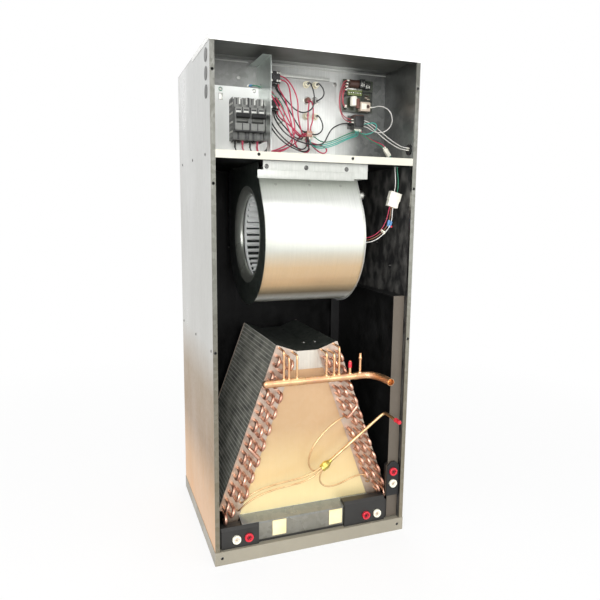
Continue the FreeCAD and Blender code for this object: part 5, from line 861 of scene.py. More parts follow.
def pointMesh(name, places, ways=()):
    mesh = bpy.data.meshes.new(name)
    mesh.from_pydata([spot(place) for place in places], [], [])
    if ways:
        held = mesh.attributes.new("way", "FLOAT_VECTOR", "POINT")
        for item, way in zip(held.data, ways):
            item.vector = way
    return mesh


def grow(name, mesh, tree, inputs, body, replaced=()):
    piece = linked(name, mesh)
    modifier = piece.modifiers.new("grow", "NODES")
    modifier.node_group = tree
    for socket in tree.interface.items_tree:
        if socket.in_out == "INPUT" and socket.name in inputs:
            modifier[socket.identifier] = inputs[socket.name]
    graph = bpy.context.evaluated_depsgraph_get()
    made = bpy.data.meshes.new_from_object(piece.evaluated_get(graph), depsgraph=graph)
    piece.modifiers.clear()
    piece.data = made
    made.set_sharp_from_angle(angle=math.radians(sharpEdge))
    return settle(piece, body, replaced)


bendSizes = {"Half Pitch": coil["pitch"] / 2 * mm, "Stub": 20.0 * mm, "Tube Radius": 5.3 * mm,
             "Finish": paints["copper"]}
headerBends = {"near": 36.0, "stub": 11.0 * mm}  # shorter bends behind the header


def hairpinTree():
    tree, given = newTree("hairpin", bendSizes)
    half = given["Half Pitch"]
    reach = mathOf(tree, "ADD", half, given["Stub"])
    links = {"Index": geoNode(tree, "InputIndex")}
    chosen = addNode(tree, "GeometryNodeIndexSwitch", links, data_type="VECTOR")
    for k, (sign, deep) in enumerate(((-1, 0), (-1, 1), (1, 1), (1, 0))):
        if k > 1:
            chosen.index_switch_items.new()
        rise = mathOf(tree, "MULTIPLY", half, sign)
        ahead = mathOf(tree, "MULTIPLY", reach, -deep)
        tree.links.new(vectorOf(tree, Y=ahead, Z=rise), chosen.inputs[k + 1])
    corners = geoNode(tree, "Points", {"Count": 4, "Position": chosen.outputs[0]})
    path = geoNode(tree, "PointsToCurves", {"Points": corners})
    bent = geoNode(tree, "FilletCurve", {"Curve": path, "Radius": half, "Count": 5}, mode="POLY")
    ring = geoNode(tree, "CurvePrimitiveCircle", {"Resolution": 12, "Radius": given["Tube Radius"]})
    tube = geoNode(tree, "CurveToMesh", {"Curve": bent, "Profile Curve": ring, "Fill Caps": True})
    placed = copiesOn(tree, given["Geometry"], tube, Rotation=eulerOf(tree, wayOf(tree)))
    closeTree(tree, placed, given["Finish"])
    return tree


def returnBends():
    longBends, shortBends = ([], []), ([], [])
    free = {(-1, 2, 0), (1, 2, 0), (1, 2, 5)}  # tubes that the capillaries feed
    for side in (-1, 1):
        for row in range(coil["rows"]):
            for k in range(coil["bends"]):
                if (side, row, k) in free:
                    continue
                low, high = (tubeSpot(side, row, 2 * k + step - row % 2) for step in (0, 1))
                x, z = (low[0] + high[0]) / 2, (low[1] + high[1]) / 2
                places, ways = shortBends if abs(z - pipes["level"]) < headerBends["near"] else longBends
                places.append((x, pipes["face"], z))
                ways.append((0.0, -side * coil["lean"], 0.0))
        # One more upright bend at the slab's foot
        longBends[0].append((side * 263.0 - coil["offset"], pipes["face"], 122.0))
        longBends[1].append((0.0, 0.0, 0.0))
    tree = hairpinTree()
    shortSizes = {**bendSizes, "Stub": headerBends["stub"]}
    rows = (("returnBends", longBends, bendSizes), ("headerBends", shortBends, shortSizes))
    for name, bends, sizes in rows:
        grow(name, pointMesh(name, *bends), tree, sizes, cabinet, ["return_bends"])


finSizes = {"Pitch": 2.4 * mm, "Fins": 154, "Gauge": 0.35 * mm, "Across": coil["thickness"] * mm,
            "Along": coil["length"] * mm, "Core": 0.82, "Finish": paints["fin"]}


def coilFins():
    # Thin plates in a row along the slab, over a narrower core that closes the air gaps
    tree, given = newTree("finRow", finSizes)
    extent = vectorOf(tree, X=given["Across"], Y=given["Gauge"], Z=given["Along"])
    plate = geoNode(tree, "MeshCube", {"Size": extent, "Vertices X": 2, "Vertices Y": 2, "Vertices Z": 5})
    row = geoNode(tree, "MeshLine", {"Count": given["Fins"], "Offset": vectorOf(tree, Y=given["Pitch"])})
    stack = geoNode(tree, "RealizeInstances", {"Geometry": copiesOn(tree, row, plate)})
    reach = mathOf(tree, "MULTIPLY", given["Fins"], given["Pitch"])
    thin = mathOf(tree, "MULTIPLY", given["Across"], given["Core"])
    inner = vectorOf(tree, X=thin, Y=reach, Z=given["Along"])
    core = geoNode(tree, "MeshCube", {"Size": inner, "Vertices Z": 3})
    core = moved(tree, core, Y=mathOf(tree, "MULTIPLY", reach, 0.5))
    slab = joined(tree, stack, core)
    placed = copiesOn(tree, given["Geometry"], slab, Rotation=eulerOf(tree, wayOf(tree)))
    closeTree(tree, placed, given["Finish"])
    places, ways = [], []
    for side in (-1, 1):
        x, z = slabSpot(side, coil["thickness"] / 2, coil["length"] / 2)
        places.append((x, coil["front"] + 1.2, z))
        ways.append((0.0, -side * coil["lean"], 0.0))
    slabs = pointMesh("slabPlaces", places, ways)
    grow("coilFinRows", slabs, tree, finSizes, cabinet, ["coil_fins"])


blower = {"axisY": -48.0, "axisZ": 956.0, "radius": 196.0, "growth": 28.8, "start": -30.0, "lead": 84.0,
          "half": 156.0, "top": 1167.0, "rim": 8.0, "inlet": 147.0, "curl": 22.0}
bladeSizes = {"Blades": 40, "Inner Radius": 121.0 * mm, "Outer Radius": 139.6 * mm,
              "Sweep": math.radians(5.0), "Length": 236.0 * mm, "Gauge": 0.9 * mm,
              "Finish": paints["wheelZinc"]}


def wheelBlades():
    tree, given = newTree("bladeRing", bladeSizes)
    inner, outer = given["Inner Radius"], given["Outer Radius"]
    sweep, length = given["Sweep"], given["Length"]

    def onWheel(radius, angle):
        y, z = (mathOf(tree, "MULTIPLY", mathOf(tree, turn, angle), radius) for turn in ("COSINE", "SINE"))
        return vectorOf(tree, Y=y, Z=z)

    # A bowed arc, drawn out along the axis and thickened
    middle = mathOf(tree, "MULTIPLY", mathOf(tree, "ADD", inner, outer), 0.5)
    bow = mathOf(tree, "MULTIPLY", sweep, -0.25)
    links = {"Start": onWheel(inner, 0.0), "Middle": onWheel(middle, bow), "End": onWheel(outer, sweep),
             "Resolution": 7}
    edge = geoNode(tree, "CurveToMesh", {"Curve": geoNode(tree, "CurveArc", links, mode="POINTS")})
    links = {"Mesh": edge, "Offset": vectorOf(tree, X=length), "Offset Scale": 1.0}
    sheet = geoNode(tree, "ExtrudeMesh", links, mode="EDGES")
    links = {"Mesh": sheet, "Offset Scale": given["Gauge"], "Individual": False}
    thick = geoNode(tree, "ExtrudeMesh", links, mode="FACES")
    whole = joined(tree, thick, geoNode(tree, "FlipFaces", {"Mesh": sheet}))
    solid = geoNode(tree, "MergeByDistance", {"Geometry": whole, "Distance": 0.01 * mm})
    blade = moved(tree, solid, X=mathOf(tree, "MULTIPLY", length, -0.5))
    spots = geoNode(tree, "Points", {"Count": given["Blades"]})
    share = mathOf(tree, "DIVIDE", geoNode(tree, "InputIndex"), given["Blades"])
    turn = vectorOf(tree, X=mathOf(tree, "MULTIPLY", share, 2 * math.pi))
    ring = copiesOn(tree, spots, blade, Rotation=eulerOf(tree, turn))
    closeTree(tree, copiesOn(tree, given["Geometry"], ring), given["Finish"])
    middle = pointMesh("wheelMiddle", [(0, blower["axisY"], blower["axisZ"])])
    grow("wheelBlades", middle, tree, bladeSizes, wheel, ["wheel_blades"])


returnBends()
coilFins()
wheelBlades()
print("bends, fins and blades")

screwSizes = {"Head": 4.6 * mm, "Rise": 3.0 * mm, "Washer": 6.2 * mm, "Finish": paints["screwSteel"]}
panelWalls = ((leftward, -310), (rightward, 310))
screws = {
    "panelScrews": {"sizes": {"Head": 3.4, "Rise": 0.9, "Washer": 4.6}, "finish": "darkSteel", "rows": [
        *((way, [(x, y, 1180) for y in (-191.6, 8, 205.5)]) for way, x in panelWalls),
        *((way, [(x, y, z) for y in (-240, 0, 240) for z in (24, 640)]) for way, x in panelWalls),
        (forward, [(x, -265.5, z) for x in (-303.5, 303.5) for z in (1388, 1100, 640)]),
        (forward, [(x, -265.5, 1180) for x in (-178.7, 99.9)]),
        (forward, [(x, -266.5, 22) for x in (-290, 290)]),
        (backward, [(x, 265.5, z) for x in (-290, -100, 100, 290) for z in (24, 500, 980, 1440)])]},
    "bracketScrews": {"sizes": {"Head": 4.4, "Rise": 3.2, "Washer": 6.8}, "finish": "darkSteel", "rows": [
        (forward, [(x, -241.5, 1151) for x in (-150, -33, 92)])]},
    "sheetScrews": {"sizes": {"Head": 4.0, "Rise": 2.6, "Washer": 6.0}, "finish": "screwSteel", "rows": [
        (forward, [(-180, -57, 1420), (130, -57.7, 1424), (118, -57.7, 1180), (-116, -57.7, 1180)]),
        (forward, [(-288, -81, 1380), (-288, -81, 1180), (-140, -81, 1380)]),
        (upward, [(x, -196, 634.9) for x in (-18, 18)])]},
    "clinchMarks": {"sizes": {"Head": 3.0, "Rise": 0.8, "Washer": 5.4}, "finish": "bracketZinc", "rows": [
        ((0, -0.866, 0.5), [(x, -182.9, 1106) for x in (-105, 0, 100)])]},
    "linerPins": {"sizes": {"Head": 1.8, "Rise": 5.0, "Washer": 2.6}, "finish": "screwSteel", "rows": [
        (downward, [(-161 + 15 * k, 92 - 10 * k, 1167) for k in range(6)]),
        (downward, [(-150 + 22 * k, 176, 1167) for k in range(5)]),
        (forward, [(x, 252.3, z) for x, z in (
            (-139, 1150), (-122, 1146), (-104, 1153), (-118, 1128), (-96, 1138), (-132, 1092), (-140, 1025),
            (-137, 964), (-118, 905), (-123, 815), (-130, 860), (-220, 1060), (-140, 900), (180, 1050),
            (230, 880), (60, 700))]),
        (leftward, [(296.8, y, z) for y, z in (
            (-180, 1090), (-120, 1010), (-60, 930), (60, 1050), (-150, 860))])]},
}


def screwTree():
    # Six sided head on a washer, its top along the point's own way
    tree, given = newTree("screw", screwSizes)
    head, rise = given["Head"], given["Rise"]
    links = {"Vertices": 14, "Radius Top": head, "Radius Bottom": given["Washer"], "Depth": 0.9 * mm}
    washer = geoNode(tree, "MeshCone", links)
    block = geoNode(tree, "MeshCylinder", {"Vertices": 6, "Radius": head, "Depth": rise})
    block = moved(tree, block, Z=mathOf(tree, "MULTIPLY", rise, 0.5))
    aligned = addNode(tree, "FunctionNodeAlignRotationToVector", {"Vector": wayOf(tree)}, axis="Z").outputs[0]
    placed = copiesOn(tree, given["Geometry"], joined(tree, washer, block), Rotation=aligned)
    closeTree(tree, placed, given["Finish"])
    return tree


def driveScrews():
    tree = screwTree()
    for name, group in screws.items():
        places = [place for way, row in group["rows"] for place in row]
        ways = [way for way, row in group["rows"] for place in row]
        sizes = {word: amount * mm for word, amount in group["sizes"].items()}
        sizes["Finish"] = paints[group["finish"]]
        grow(name, pointMesh(name, places, ways), tree, sizes, cabinet)


driveScrews()
print("screws")

# Blower housing: wrap, side plates with bell mouths, wheel rings


def scrollLine(extra):
    # From the upper front, down the lead, round the spiral and up the straight back
    spots = []
    steps = 84
    for k in range(steps + 1):
        turn = blower["start"] + (180.0 - blower["start"]) * k / steps
        reach = blower["radius"] + blower["growth"] * turn / 180.0 + extra
        angle = math.radians(turn)
        spots.append((blower["axisY"] - reach * math.cos(angle), blower["axisZ"] - reach * math.sin(angle)))
    angle = math.radians(blower["start"])
    y, z = spots[0]
    lead = (y - math.sin(angle) * blower["lead"], z + math.cos(angle) * blower["lead"])
    return [lead, *spots, (spots[-1][0], blower["top"])]


def blowerWrap():
    shape = bmesh.new()
    gauge = 1.0
    reach = blower["half"] - gauge

    def edgesAt(extra):
        return [[shape.verts.new(spot((x, y, z))) for y, z in scrollLine(extra)] for x in (-reach, reach)]

    outer, inner = edgesAt(gauge), edgesAt(0.0)
    # Outer face carries the painted reflection bands, inner face a dark tone as painted shade
    bright, hollow = range(2)
    for one, two, tint in ((*outer, bright), (*reversed(inner), hollow), (outer[0], inner[0], bright),
                           (outer[1], inner[1], bright)):
        for k in range(len(one) - 1):
            shape.faces.new([one[k], one[k + 1], two[k + 1], two[k]]).material_index = tint
    for k in (0, -1):
        shape.faces.new([outer[0][k], outer[1][k], inner[1][k], inner[0][k]])
    for face in shape.faces:
        face.smooth = True
    keepShape(shape, "blowerWrap", ["blowerZinc", "shadedHollowZinc"], cabinet, ["blower_wrap"], 25.0)


def blowerSide(side, name, node, finish):
    shape = bmesh.new()
    outline = scrollLine(blower["rim"])
    outline.append((outline[0][0], blower["top"]))
    count, gauge = 96, 1.0
    curl, inlet = blower["curl"], blower["inlet"]
    angles = [2 * math.pi * k / count for k in range(count)]
    hole = [(blower["axisY"] + inlet * math.cos(t), blower["axisZ"] + inlet * math.sin(t)) for t in angles]
    edges = []
    for line in (outline, hole):
        verts = [shape.verts.new(spot((side * blower["half"], y, z))) for y, z in line]
        edges += [shape.edges.new((one, two)) for one, two in zip(verts, [*verts[1:], verts[0]])]
    bmesh.ops.triangle_fill(shape, use_beauty=True, use_dissolve=False, edges=edges)
    made = bmesh.ops.extrude_face_region(shape, geom=list(shape.faces))
    raised = [item for item in made["geom"] if isinstance(item, bmesh.types.BMVert)]
    bmesh.ops.translate(shape, verts=raised, vec=(-side * gauge * mm, 0, 0))
    addFaces(shape, set(), 0)
    # Bell mouth curled into the housing
    steps = 9
    turns = [math.pi / 2 * k / steps for k in range(steps + 1)]
    within = curl - gauge
    mouth = [(curl - curl * math.cos(t), inlet - curl * math.sin(t)) for t in turns]
    lip = [(curl - within * math.cos(t), inlet - within * math.sin(t)) for t in reversed(turns)]
    loop = [(-0.6, inlet + 2.0), *mouth, *lip, (gauge, inlet + 2.0), (-0.6, inlet + 2.0)]
    middle = (side * blower["half"], blower["axisY"], blower["axisZ"])
    addTurned(shape, middle, (-side, 0, 0), loop, count, 1)
    keepShape(shape, name, [finish, "mouthZinc"], cabinet, [node], 30.0)


wheelRim = {"reach": 127.0, "sides": 80, "loop": [
    (0.0, 131.5), (-0.6, 133.0), (-0.6, 138.5), (0.0, 140.0), (9.0, 140.0), (9.0, 138.8), (1.2, 138.8),
    (1.2, 131.5), (0.0, 131.5)]}


def wheelRings():
    shape = bmesh.new()
    for side in (-1, 1):
        middle = (side * wheelRim["reach"], blower["axisY"], blower["axisZ"])
        addTurned(shape, middle, (-side, 0, 0), wheelRim["loop"], wheelRim["sides"])
    keepShape(shape, "wheelRings", ["wheelZinc"], wheel, ["wheel_rings"])


blowerWrap()
# The left plate takes a dark tone as painted shade
blowerSide(-1, "leftBlowerSide", "left_blower_side", "shadedSideZinc")
blowerSide(1, "rightBlowerSide", "right_blower_side", "zinc")
wheelRings()
print("blower")

# Small parts: each piece is groups of blocks and turned forms, repeated at the group's places


def makePiece(name, look):
    # A block is two corners, rounding and finish; a turned form is start, way, profile, sides and finish
    shape = bmesh.new()
    finishes = []

    def tintOf(finish):
        if finish not in finishes:
            finishes.append(finish)
        return finishes.index(finish)

    for group in look["groups"]:
        axis, degrees = group.get("turn", ("Z", 0.0))
        turn = Matrix.Rotation(math.radians(degrees), 4, axis)
        for place in group.get("places", [(0, 0, 0)]):
            for low, high, soft, finish in group.get("blocks", ()):
                addBlock(shape, low, high, soft, tintOf(finish), turn, place)
            for start, way, profile, sides, finish in group.get("turns", ()):
                addTurned(shape, Vector(start) + Vector(place), way, profile, sides, tintOf(finish))
    keepShape(shape, name, finishes, look.get("body", cabinet), look.get("replaces", ()),
              look.get("sharp", sharpEdge))


def makePieces(pieces):
    for name, look in pieces.items():
        makePiece(name, look)


breakers = {"starts": (-215.8, -170.7), "pole": 22.25, "wires": (-204.7, -182.4, -159.6, -137.3),
            "levers": (-193.55, -148.45), "ribs": (-3.6, -1.8, 0.0, 1.8, 3.6),
            "gaps": ((1233, 1254, -128.8), (1257, 1276, -149.6), (1300.8, 1320, -149.6),
                     (1323, 1350, -129.4))}
poles = [(x + aside, 0, 0) for x in breakers["starts"] for aside in (0.0, breakers["pole"])]
clamp = [(0.0, 4.2), (1.6, 4.0), (2.0, 3.2), (2.0, 0.0)]
sleeve = [(0.0, 4.4), (3.0, 4.4), (4.0, 3.2), (11.0, 2.8), (12.4, 2.0)]
breakerPieces = {
    "breakerTrim": {"groups": [
        # On each pole: faces with a dark slot and a pale strip, split posts at the top, blocks at the foot
        {"places": poles, "blocks": [
            ((1.4, -149.0, 1302), (20.8, -147.8, 1320), 0.5, "faceGrey"),
            ((4.0, -149.4, 1310.5), (18.0, -148.6, 1314.5), 0.2, "caseBlack"),
            ((4.0, -149.8, 1305.0), (18.0, -148.6, 1309.8), 0.4, "facePale"),
            ((1.4, -149.0, 1257), (20.8, -147.8, 1276), 0.5, "faceGrey"),
            ((2.4, -149.6, 1260), (19.8, -148.6, 1274), 0.5, "faceGrey"),
            ((3.4, -128.4, 1323), (16.6, -124, 1349), 0.8, "faceGrey"),
            ((8.6, -128.9, 1330), (11.6, -127.6, 1347), 0.2, "caseBlack"),
            ((17.2, -128.8, 1331), (21.2, -127.6, 1349), 0.2, "facePale"),
            ((2.4, -128.2, 1233), (11.4, -126.0, 1254), 0.6, "caseGrey"),
            ((12.2, -127.2, 1233), (18.0, -126.0, 1254), 0.3, "caseBlack"),
            ((18.4, -128.2, 1233), (20.4, -126.0, 1254), 0.3, "caseGrey")]},
        # On each breaker: dark gaps between the poles and over the foot, moulded ribs on the outer wall
        {"places": [(x, 0, 0) for x in breakers["starts"]], "blocks": [
            ((20.7, -149.3, 1257), (23.8, -126.4, 1276.0), 0.3, "caseBlack"),
            ((20.7, -149.3, 1300.8), (23.8, -126.4, 1320), 0.3, "caseBlack"),
            ((1.0, -148.2, 1253.6), (43.5, -126.2, 1256.4), 0.4, "caseBlack"),
            *(((-0.8, -124, z), (0.6, -86, z + 5), 0.3, "facePale" if z % 2 else "faceGrey")
              for z in range(1240, 1345, 13))]},
        # Dark gap between the two breakers
        {"blocks": [((-174.0, ahead, low), (-168.0, ahead + 3.0, high), 0.3, "caseBlack")
                    for low, high, ahead in breakers["gaps"]]}]},
    "terminalLugs": {"replaces": ["terminal_lugs"], "slot": "lug_metal", "groups": [
        # Clamp screws over the upper poles, sleeves where wires enter below
        {"places": [(x, 0, 0) for x in breakers["wires"]],
         "blocks": [((-5.5, -111, 1343), (5.5, -97, 1349), 0.6, "lugMetal"),
                    *(((x, -116, 1344), (x + 1.2, -92, 1352), 0.3, "caseBlack") for x in (-9.6, 8.4)),
                    *(((x, -116, 1226), (x + 1.2, -92, 1233), 0.3, "caseBlack") for x in (-9.6, 8.4))],
         "turns": [((0, -104, 1349), upward, clamp, 12, "lugMetal")]},
        {"turns": [((x, -104.3, 1232.4), downward, sleeve, 14, finish)
                   for x, finish in zip(breakers["wires"], ("caseBlack", "wireRed") * 2)]},
        # Ground lug, and a bonding tab on the plate under a green screw
        {"blocks": [((-275, -95, 1326), (-261, -80.5, 1338), 1.0, "lugMetal"),
                    ((-246, -84.5, 1348), (-235, -80.5, 1366), 1.0, "lugMetal")],
         "turns": [
            ((-268, -88, 1338), upward, [(0.0, 4.6), (3.4, 4.6), (4.0, 3.8), (4.0, 0.0)], 12, "wireGreen"),
            ((-268, -95.2, 1332), backward, [(0.0, 3.0), (6.0, 3.0), (6.0, 0.0)], 12, "caseBlack"),
            ((-241, -80.5, 1378), forward, [(0.0, 5.8), (1.0, 5.8), (1.2, 4.4)], 16, "wireGreen"),
            ((-241, -81.5, 1378), forward, [(0.0, 4.6), (1.4, 4.4), (1.8, 3.2), (1.0, 2.8), (1.0, 0.0)], 14,
             "lugMetal")]}]},
}
# Ribs across each tie bar, riding on its own lever
for k, x in enumerate(breakers["levers"]):
    ribs = [((-17, -27.7, z - 0.4), (17, -26.7, z + 0.4), 0.15, "caseBlack") for z in breakers["ribs"]]
    breakerPieces[f"leverGrip{k + 1}"] = {"body": f"breaker_{k + 1}_lever", "groups": [
        {"places": [(x, -137.5, 1288.5)], "turn": ("X", -18.0), "blocks": ribs}]}
makePieces(breakerPieces)
print("breakers")

bushing = [(0.0, 3.2), (0.0, 7.4), (0.8, 8.0), (10.0, 8.0), (12.0, 8.4), (12.0, 10.5), (16.8, 10.5),
           (17.0, 3.2)]
cone = [(0.0, 4.8), (1.0, 5.2), (8.0, 4.6), (13.0, 3.2), (14.0, 0.0)]
sequencerRim = [(-0.5, 7.4), (0.9, 7.0), (0.9, 5.6), (0.2, 5.2), (0.2, 0.0)]
cones = [((x, -68, z), Vector((math.sin(lean), -0.5, math.cos(lean))))
         for x, z, lean in ((52, 1262, 0.4), (58, 1270, -0.5), (24, 1256, 0.9))]
heatPieces = {
    "ceramicTerminals": {"replaces": ["terminal_bushings"], "slot": "ceramic", "sharp": 30.0, "groups": [
        {"places": [(x, 0, z) for x in (32, 62) for z in (1322, 1416)], "turns": [
            ((0, -74.7, 0), backward, bushing, 20, "ceramic"),
            ((0, -79.7, 0), backward, [(0.0, 2.6), (0.6, 3.2), (5.0, 3.2)], 12, "lugMetal"),
            ((0, -77.2, 0), backward, [(0.0, 5.2), (2.6, 5.2)], 6, "lugMetal")]}]},
    "limitSwitches": {"replaces": ["limit_switches"], "slot": "limit_plastic", "groups": [
        {"places": [(x, 0, 0)],
         "blocks": [((aside - 2.2, -78.5, 1364), (aside + 2.2, -72.4, 1364.9), 0.0, "lugMetal")
                    for aside in (-4, 4)],
         "turns": [
            ((0, -57.7, 1369), forward, [(0.0, 12.5), (1.8, 12.5), (2.0, 11.8), (2.0, 9.0)], 28, "lugMetal"),
            ((0, -59.5, 1369), forward, [(0.0, 8.6), (11.6, 8.4), (13.2, 7.0), (13.2, 0.0)], 24, finish)]}
        for x, finish in ((36, "limitBrown"), (62, "limitGrey"))]},
    "wireSplice": {"replaces": ["wire_splice"], "slot": "splice_plastic", "groups": [
        {"blocks": [((28, -83.7, 1258), (46, -57.7, 1276), 1.6, "spliceOrange")]},
        {"turns": [((x, -84.2, 1267), backward, [(0.0, 1.6), (0.6, 2.0), (1.0, 2.0)], 10, "lugMetal")
                   for x in (32, 37, 42)]},
        {"turns": [(Vector(middle) - way * 7, way, cone, 10, "plugCream") for middle, way in cones]}]},
    "sequencerTabs": {"groups": [
        {"places": [(0, 0, z) for z in (1346, 1422)],
         "blocks": [((-98, -104.6, -1.2), (-70, -103.2, 1.2), 0.3, "caseBlack"),
                    ((-109, -60.5, -9), (-59, -57.7, 9), 0.5, "lugMetal")],
         "turns": [((-84, -103.7, 0), forward, sequencerRim, 20, "caseBlack")]},
        {"places": [(x, 0, z) for z in (1346, 1422) for x in (-101, -93, -75, -67)], "blocks": [
            ((-2.4, -92.6, 17.6), (2.4, -84, 18.4), 0.0, "lugMetal"),
            ((-2.4, -92.6, -18.4), (2.4, -84, -17.6), 0.0, "lugMetal"),
            ((-2.6, -105.8, 8.5), (2.6, -103.2, 14.5), 0.4, "lugMetal"),
            ((-2.6, -105.8, -14.5), (2.6, -103.2, -8.5), 0.4, "lugMetal")]}]},
}
makePieces(heatPieces)
print("heat kit")

bobbin = [(0.0, 10.0), (1.2, 13.4), (3.0, 13.4), (3.4, 11.0), (28.0, 11.0), (28.4, 13.4), (30.0, 13.4),
          (31.0, 10.0)]
cellScrew = [(0.0, 2.6), (1.4, 2.6), (1.8, 2.0), (1.8, 0.0)]
footScrew = [(0.0, 3.4), (1.6, 3.0), (2.0, 2.0), (2.0, 0.0)]
winding = [(0.0, 11.0), (0.8, 11.5), (1.6, 11.5), (2.4, 11.0)]
whiteCan = [(0.0, 9.0), (1.0, 11.6), (25.0, 11.6), (29.0, 9.4), (30.4, 5.0), (30.6, 0.0)]
relay = [(0.0, 5.4), (0.8, 6.2), (27.0, 6.2), (29.0, 5.0), (29.4, 0.0)]
resistor = [(0.0, 1.0), (0.6, 1.8), (3.0, 1.4), (5.0, 1.4), (7.4, 1.8), (8.0, 1.0)]
resistors = ((228, 1384, "coilBrown"), (228, 1390, "beige"), (228, 1396, "coilBrown"), (236, 1386, "beige"),
             (236, 1394, "coilBrown"))
boardPieces = {
    "boardParts": {"replaces": ["board_components"], "slot": "part_plastic", "groups": [
        # Contactor: brown coil on a pale frame, black contact block beside it
        {"blocks": [((164, -74, 1411), (216, -70.1, 1441), 0.6, "lugMetal"),
                    ((199, -98.1, 1413), (216, -74, 1440), 1.2, "caseBlack")],
         "turns": [((166, -85, 1426), rightward, bobbin, 22, "coilBrown")]},
        {"places": [(3.2 * k, 0, 0) for k in range(7)],
         "turns": [((171, -85, 1426), rightward, winding, 22, "coilBrown")]},
        {"places": [(4.6 * k, 0, 0) for k in range(3)],
         "blocks": [((201.5, -98.9, 1418), (203.9, -97.6, 1435), 0.3, "lugMetal")]},
        # Terminal strip with a screw in each cell
        {"blocks": [((166, -80.5, 1393), (212, -70.1, 1409), 0.8, "stripGreen")]},
        {"places": [(170 + 7.6 * k, 0, 0) for k in range(6)],
         "blocks": [((3.4, -83.6, 1393), (4.2, -80, 1409), 0.0, "stripGreen")],
         "turns": [((0, -80.4, 1401), forward, cellScrew, 10, "lugMetal")]},
        # White can, dark relay before it, beige block with a knob, and a black block with tabs
        {"blocks": [((205, -90, 1346), (240, -70.1, 1374), 1.8, "beige"),
                    ((209, -91, 1351), (226, -89.6, 1369), 0.5, "plugCream"),
                    ((224, -82, 1414), (243, -70.1, 1436), 1.0, "caseBlack")],
         "turns": [
            ((184, -84, 1359), upward, whiteCan, 24, "plugCream"),
            ((194, -93, 1352), upward, relay, 18, "limitBrown"),
            ((231, -90, 1360), forward, [(0.0, 5.2), (2.0, 5.2), (2.6, 4.4), (2.6, 0.0)], 16, "coilBrown")]},
        {"places": [(5.4 * k, 0, 0) for k in range(3)],
         "blocks": [((226, -83.4, 1417), (229, -81.6, 1433), 0.3, "lugMetal")]},
        # Thin open bracket on two feet
        {"blocks": [((219, -76, 1404), (251, -74.6, 1407), 0.3, "caseBlack"),
                    ((248.5, -76, 1376), (251, -74.6, 1407), 0.3, "caseBlack"),
                    ((219, -76, 1376), (251, -74.6, 1378.5), 0.3, "caseBlack"),
                    ((219, -76, 1376), (221.5, -74.6, 1407), 0.3, "caseBlack"),
                    ((246, -75.5, 1380), (250, -70.1, 1384), 0.3, "caseBlack"),
                    ((220, -75.5, 1400), (224, -70.1, 1404), 0.3, "caseBlack")]},
        # Resistors and studs
        {"turns": [((x, -72.6, z), rightward, resistor, 10, finish) for x, z, finish in resistors]},
        {"turns": [((x, -70.1, z), forward, [(0.0, 3.0), (8.0, 3.0), (8.6, 2.6), (8.6, 0.0)], 12, "caseBlack")
                   for x, z in ((160, 1404), (160, 1392), (160, 1352), (246, 1350))]}]},
    # Laminated core, wound bobbin and foot plate
    "transformerParts": {"replaces": ["transformer"], "slot": "transformer_steel", "groups": [
        {"blocks": [((176, -58.5, 1292), (232, -56.5, 1334), 0.4, "darkSteel"),
                    ((188.6, -82, 1292.6), (219.4, -58.5, 1333.4), 0.0, "darkSteel"),
                    ((189, -91.5, 1298), (219, -82.5, 1328), 3.2, "caseBlack"),
                    ((187.4, -84.5, 1326), (220.6, -60, 1334.4), 1.0, "coilBrown"),
                    ((190, -91.2, 1296), (218, -83.0, 1299), 0.8, "caseBlack"),
                    ((190, -91.2, 1327), (218, -83.0, 1330), 0.8, "caseBlack")]},
        {"places": [(0, 2.7 * k, 0) for k in range(9)],
         "blocks": [((188, -82.5, 1292), (220, -80.4, 1334), 0.2, "darkSteel")]},
        {"turns": [((x, -58.5, 1313), forward, footScrew, 10, "lugMetal") for x in (179.5, 228.5)]}]},
}
makePieces(boardPieces)
print("control board")


def crimp(radius, length):
    return [(0.0, radius * 0.7), (1.0, radius), (length * 0.6, radius), (length * 0.7, radius * 0.8),
            (length - 1.0, radius * 0.8), (length, radius * 0.6)]


endSleeves = {"red_wires": "wirePink", "black_wires": "caseBlack", "control_wires": "plugCream"}


def sleeveRows():
    # A sleeve on each end of the wires in the compartment
    rows = []
    for node, finish in endSleeves.items():
        radius = wireSets[node]["radius"] + 0.7
        profile = [(0.0, radius * 0.9), (0.6, radius), (6.5, radius), (8.0, radius * 0.75)]
        for route in wireSets[node]["routes"]:
            for here, there in ((route[0], route[1]), (route[-1], route[-2])):
                rows.append((here, Vector(there) - Vector(here), profile, 10, finish))
    return rows


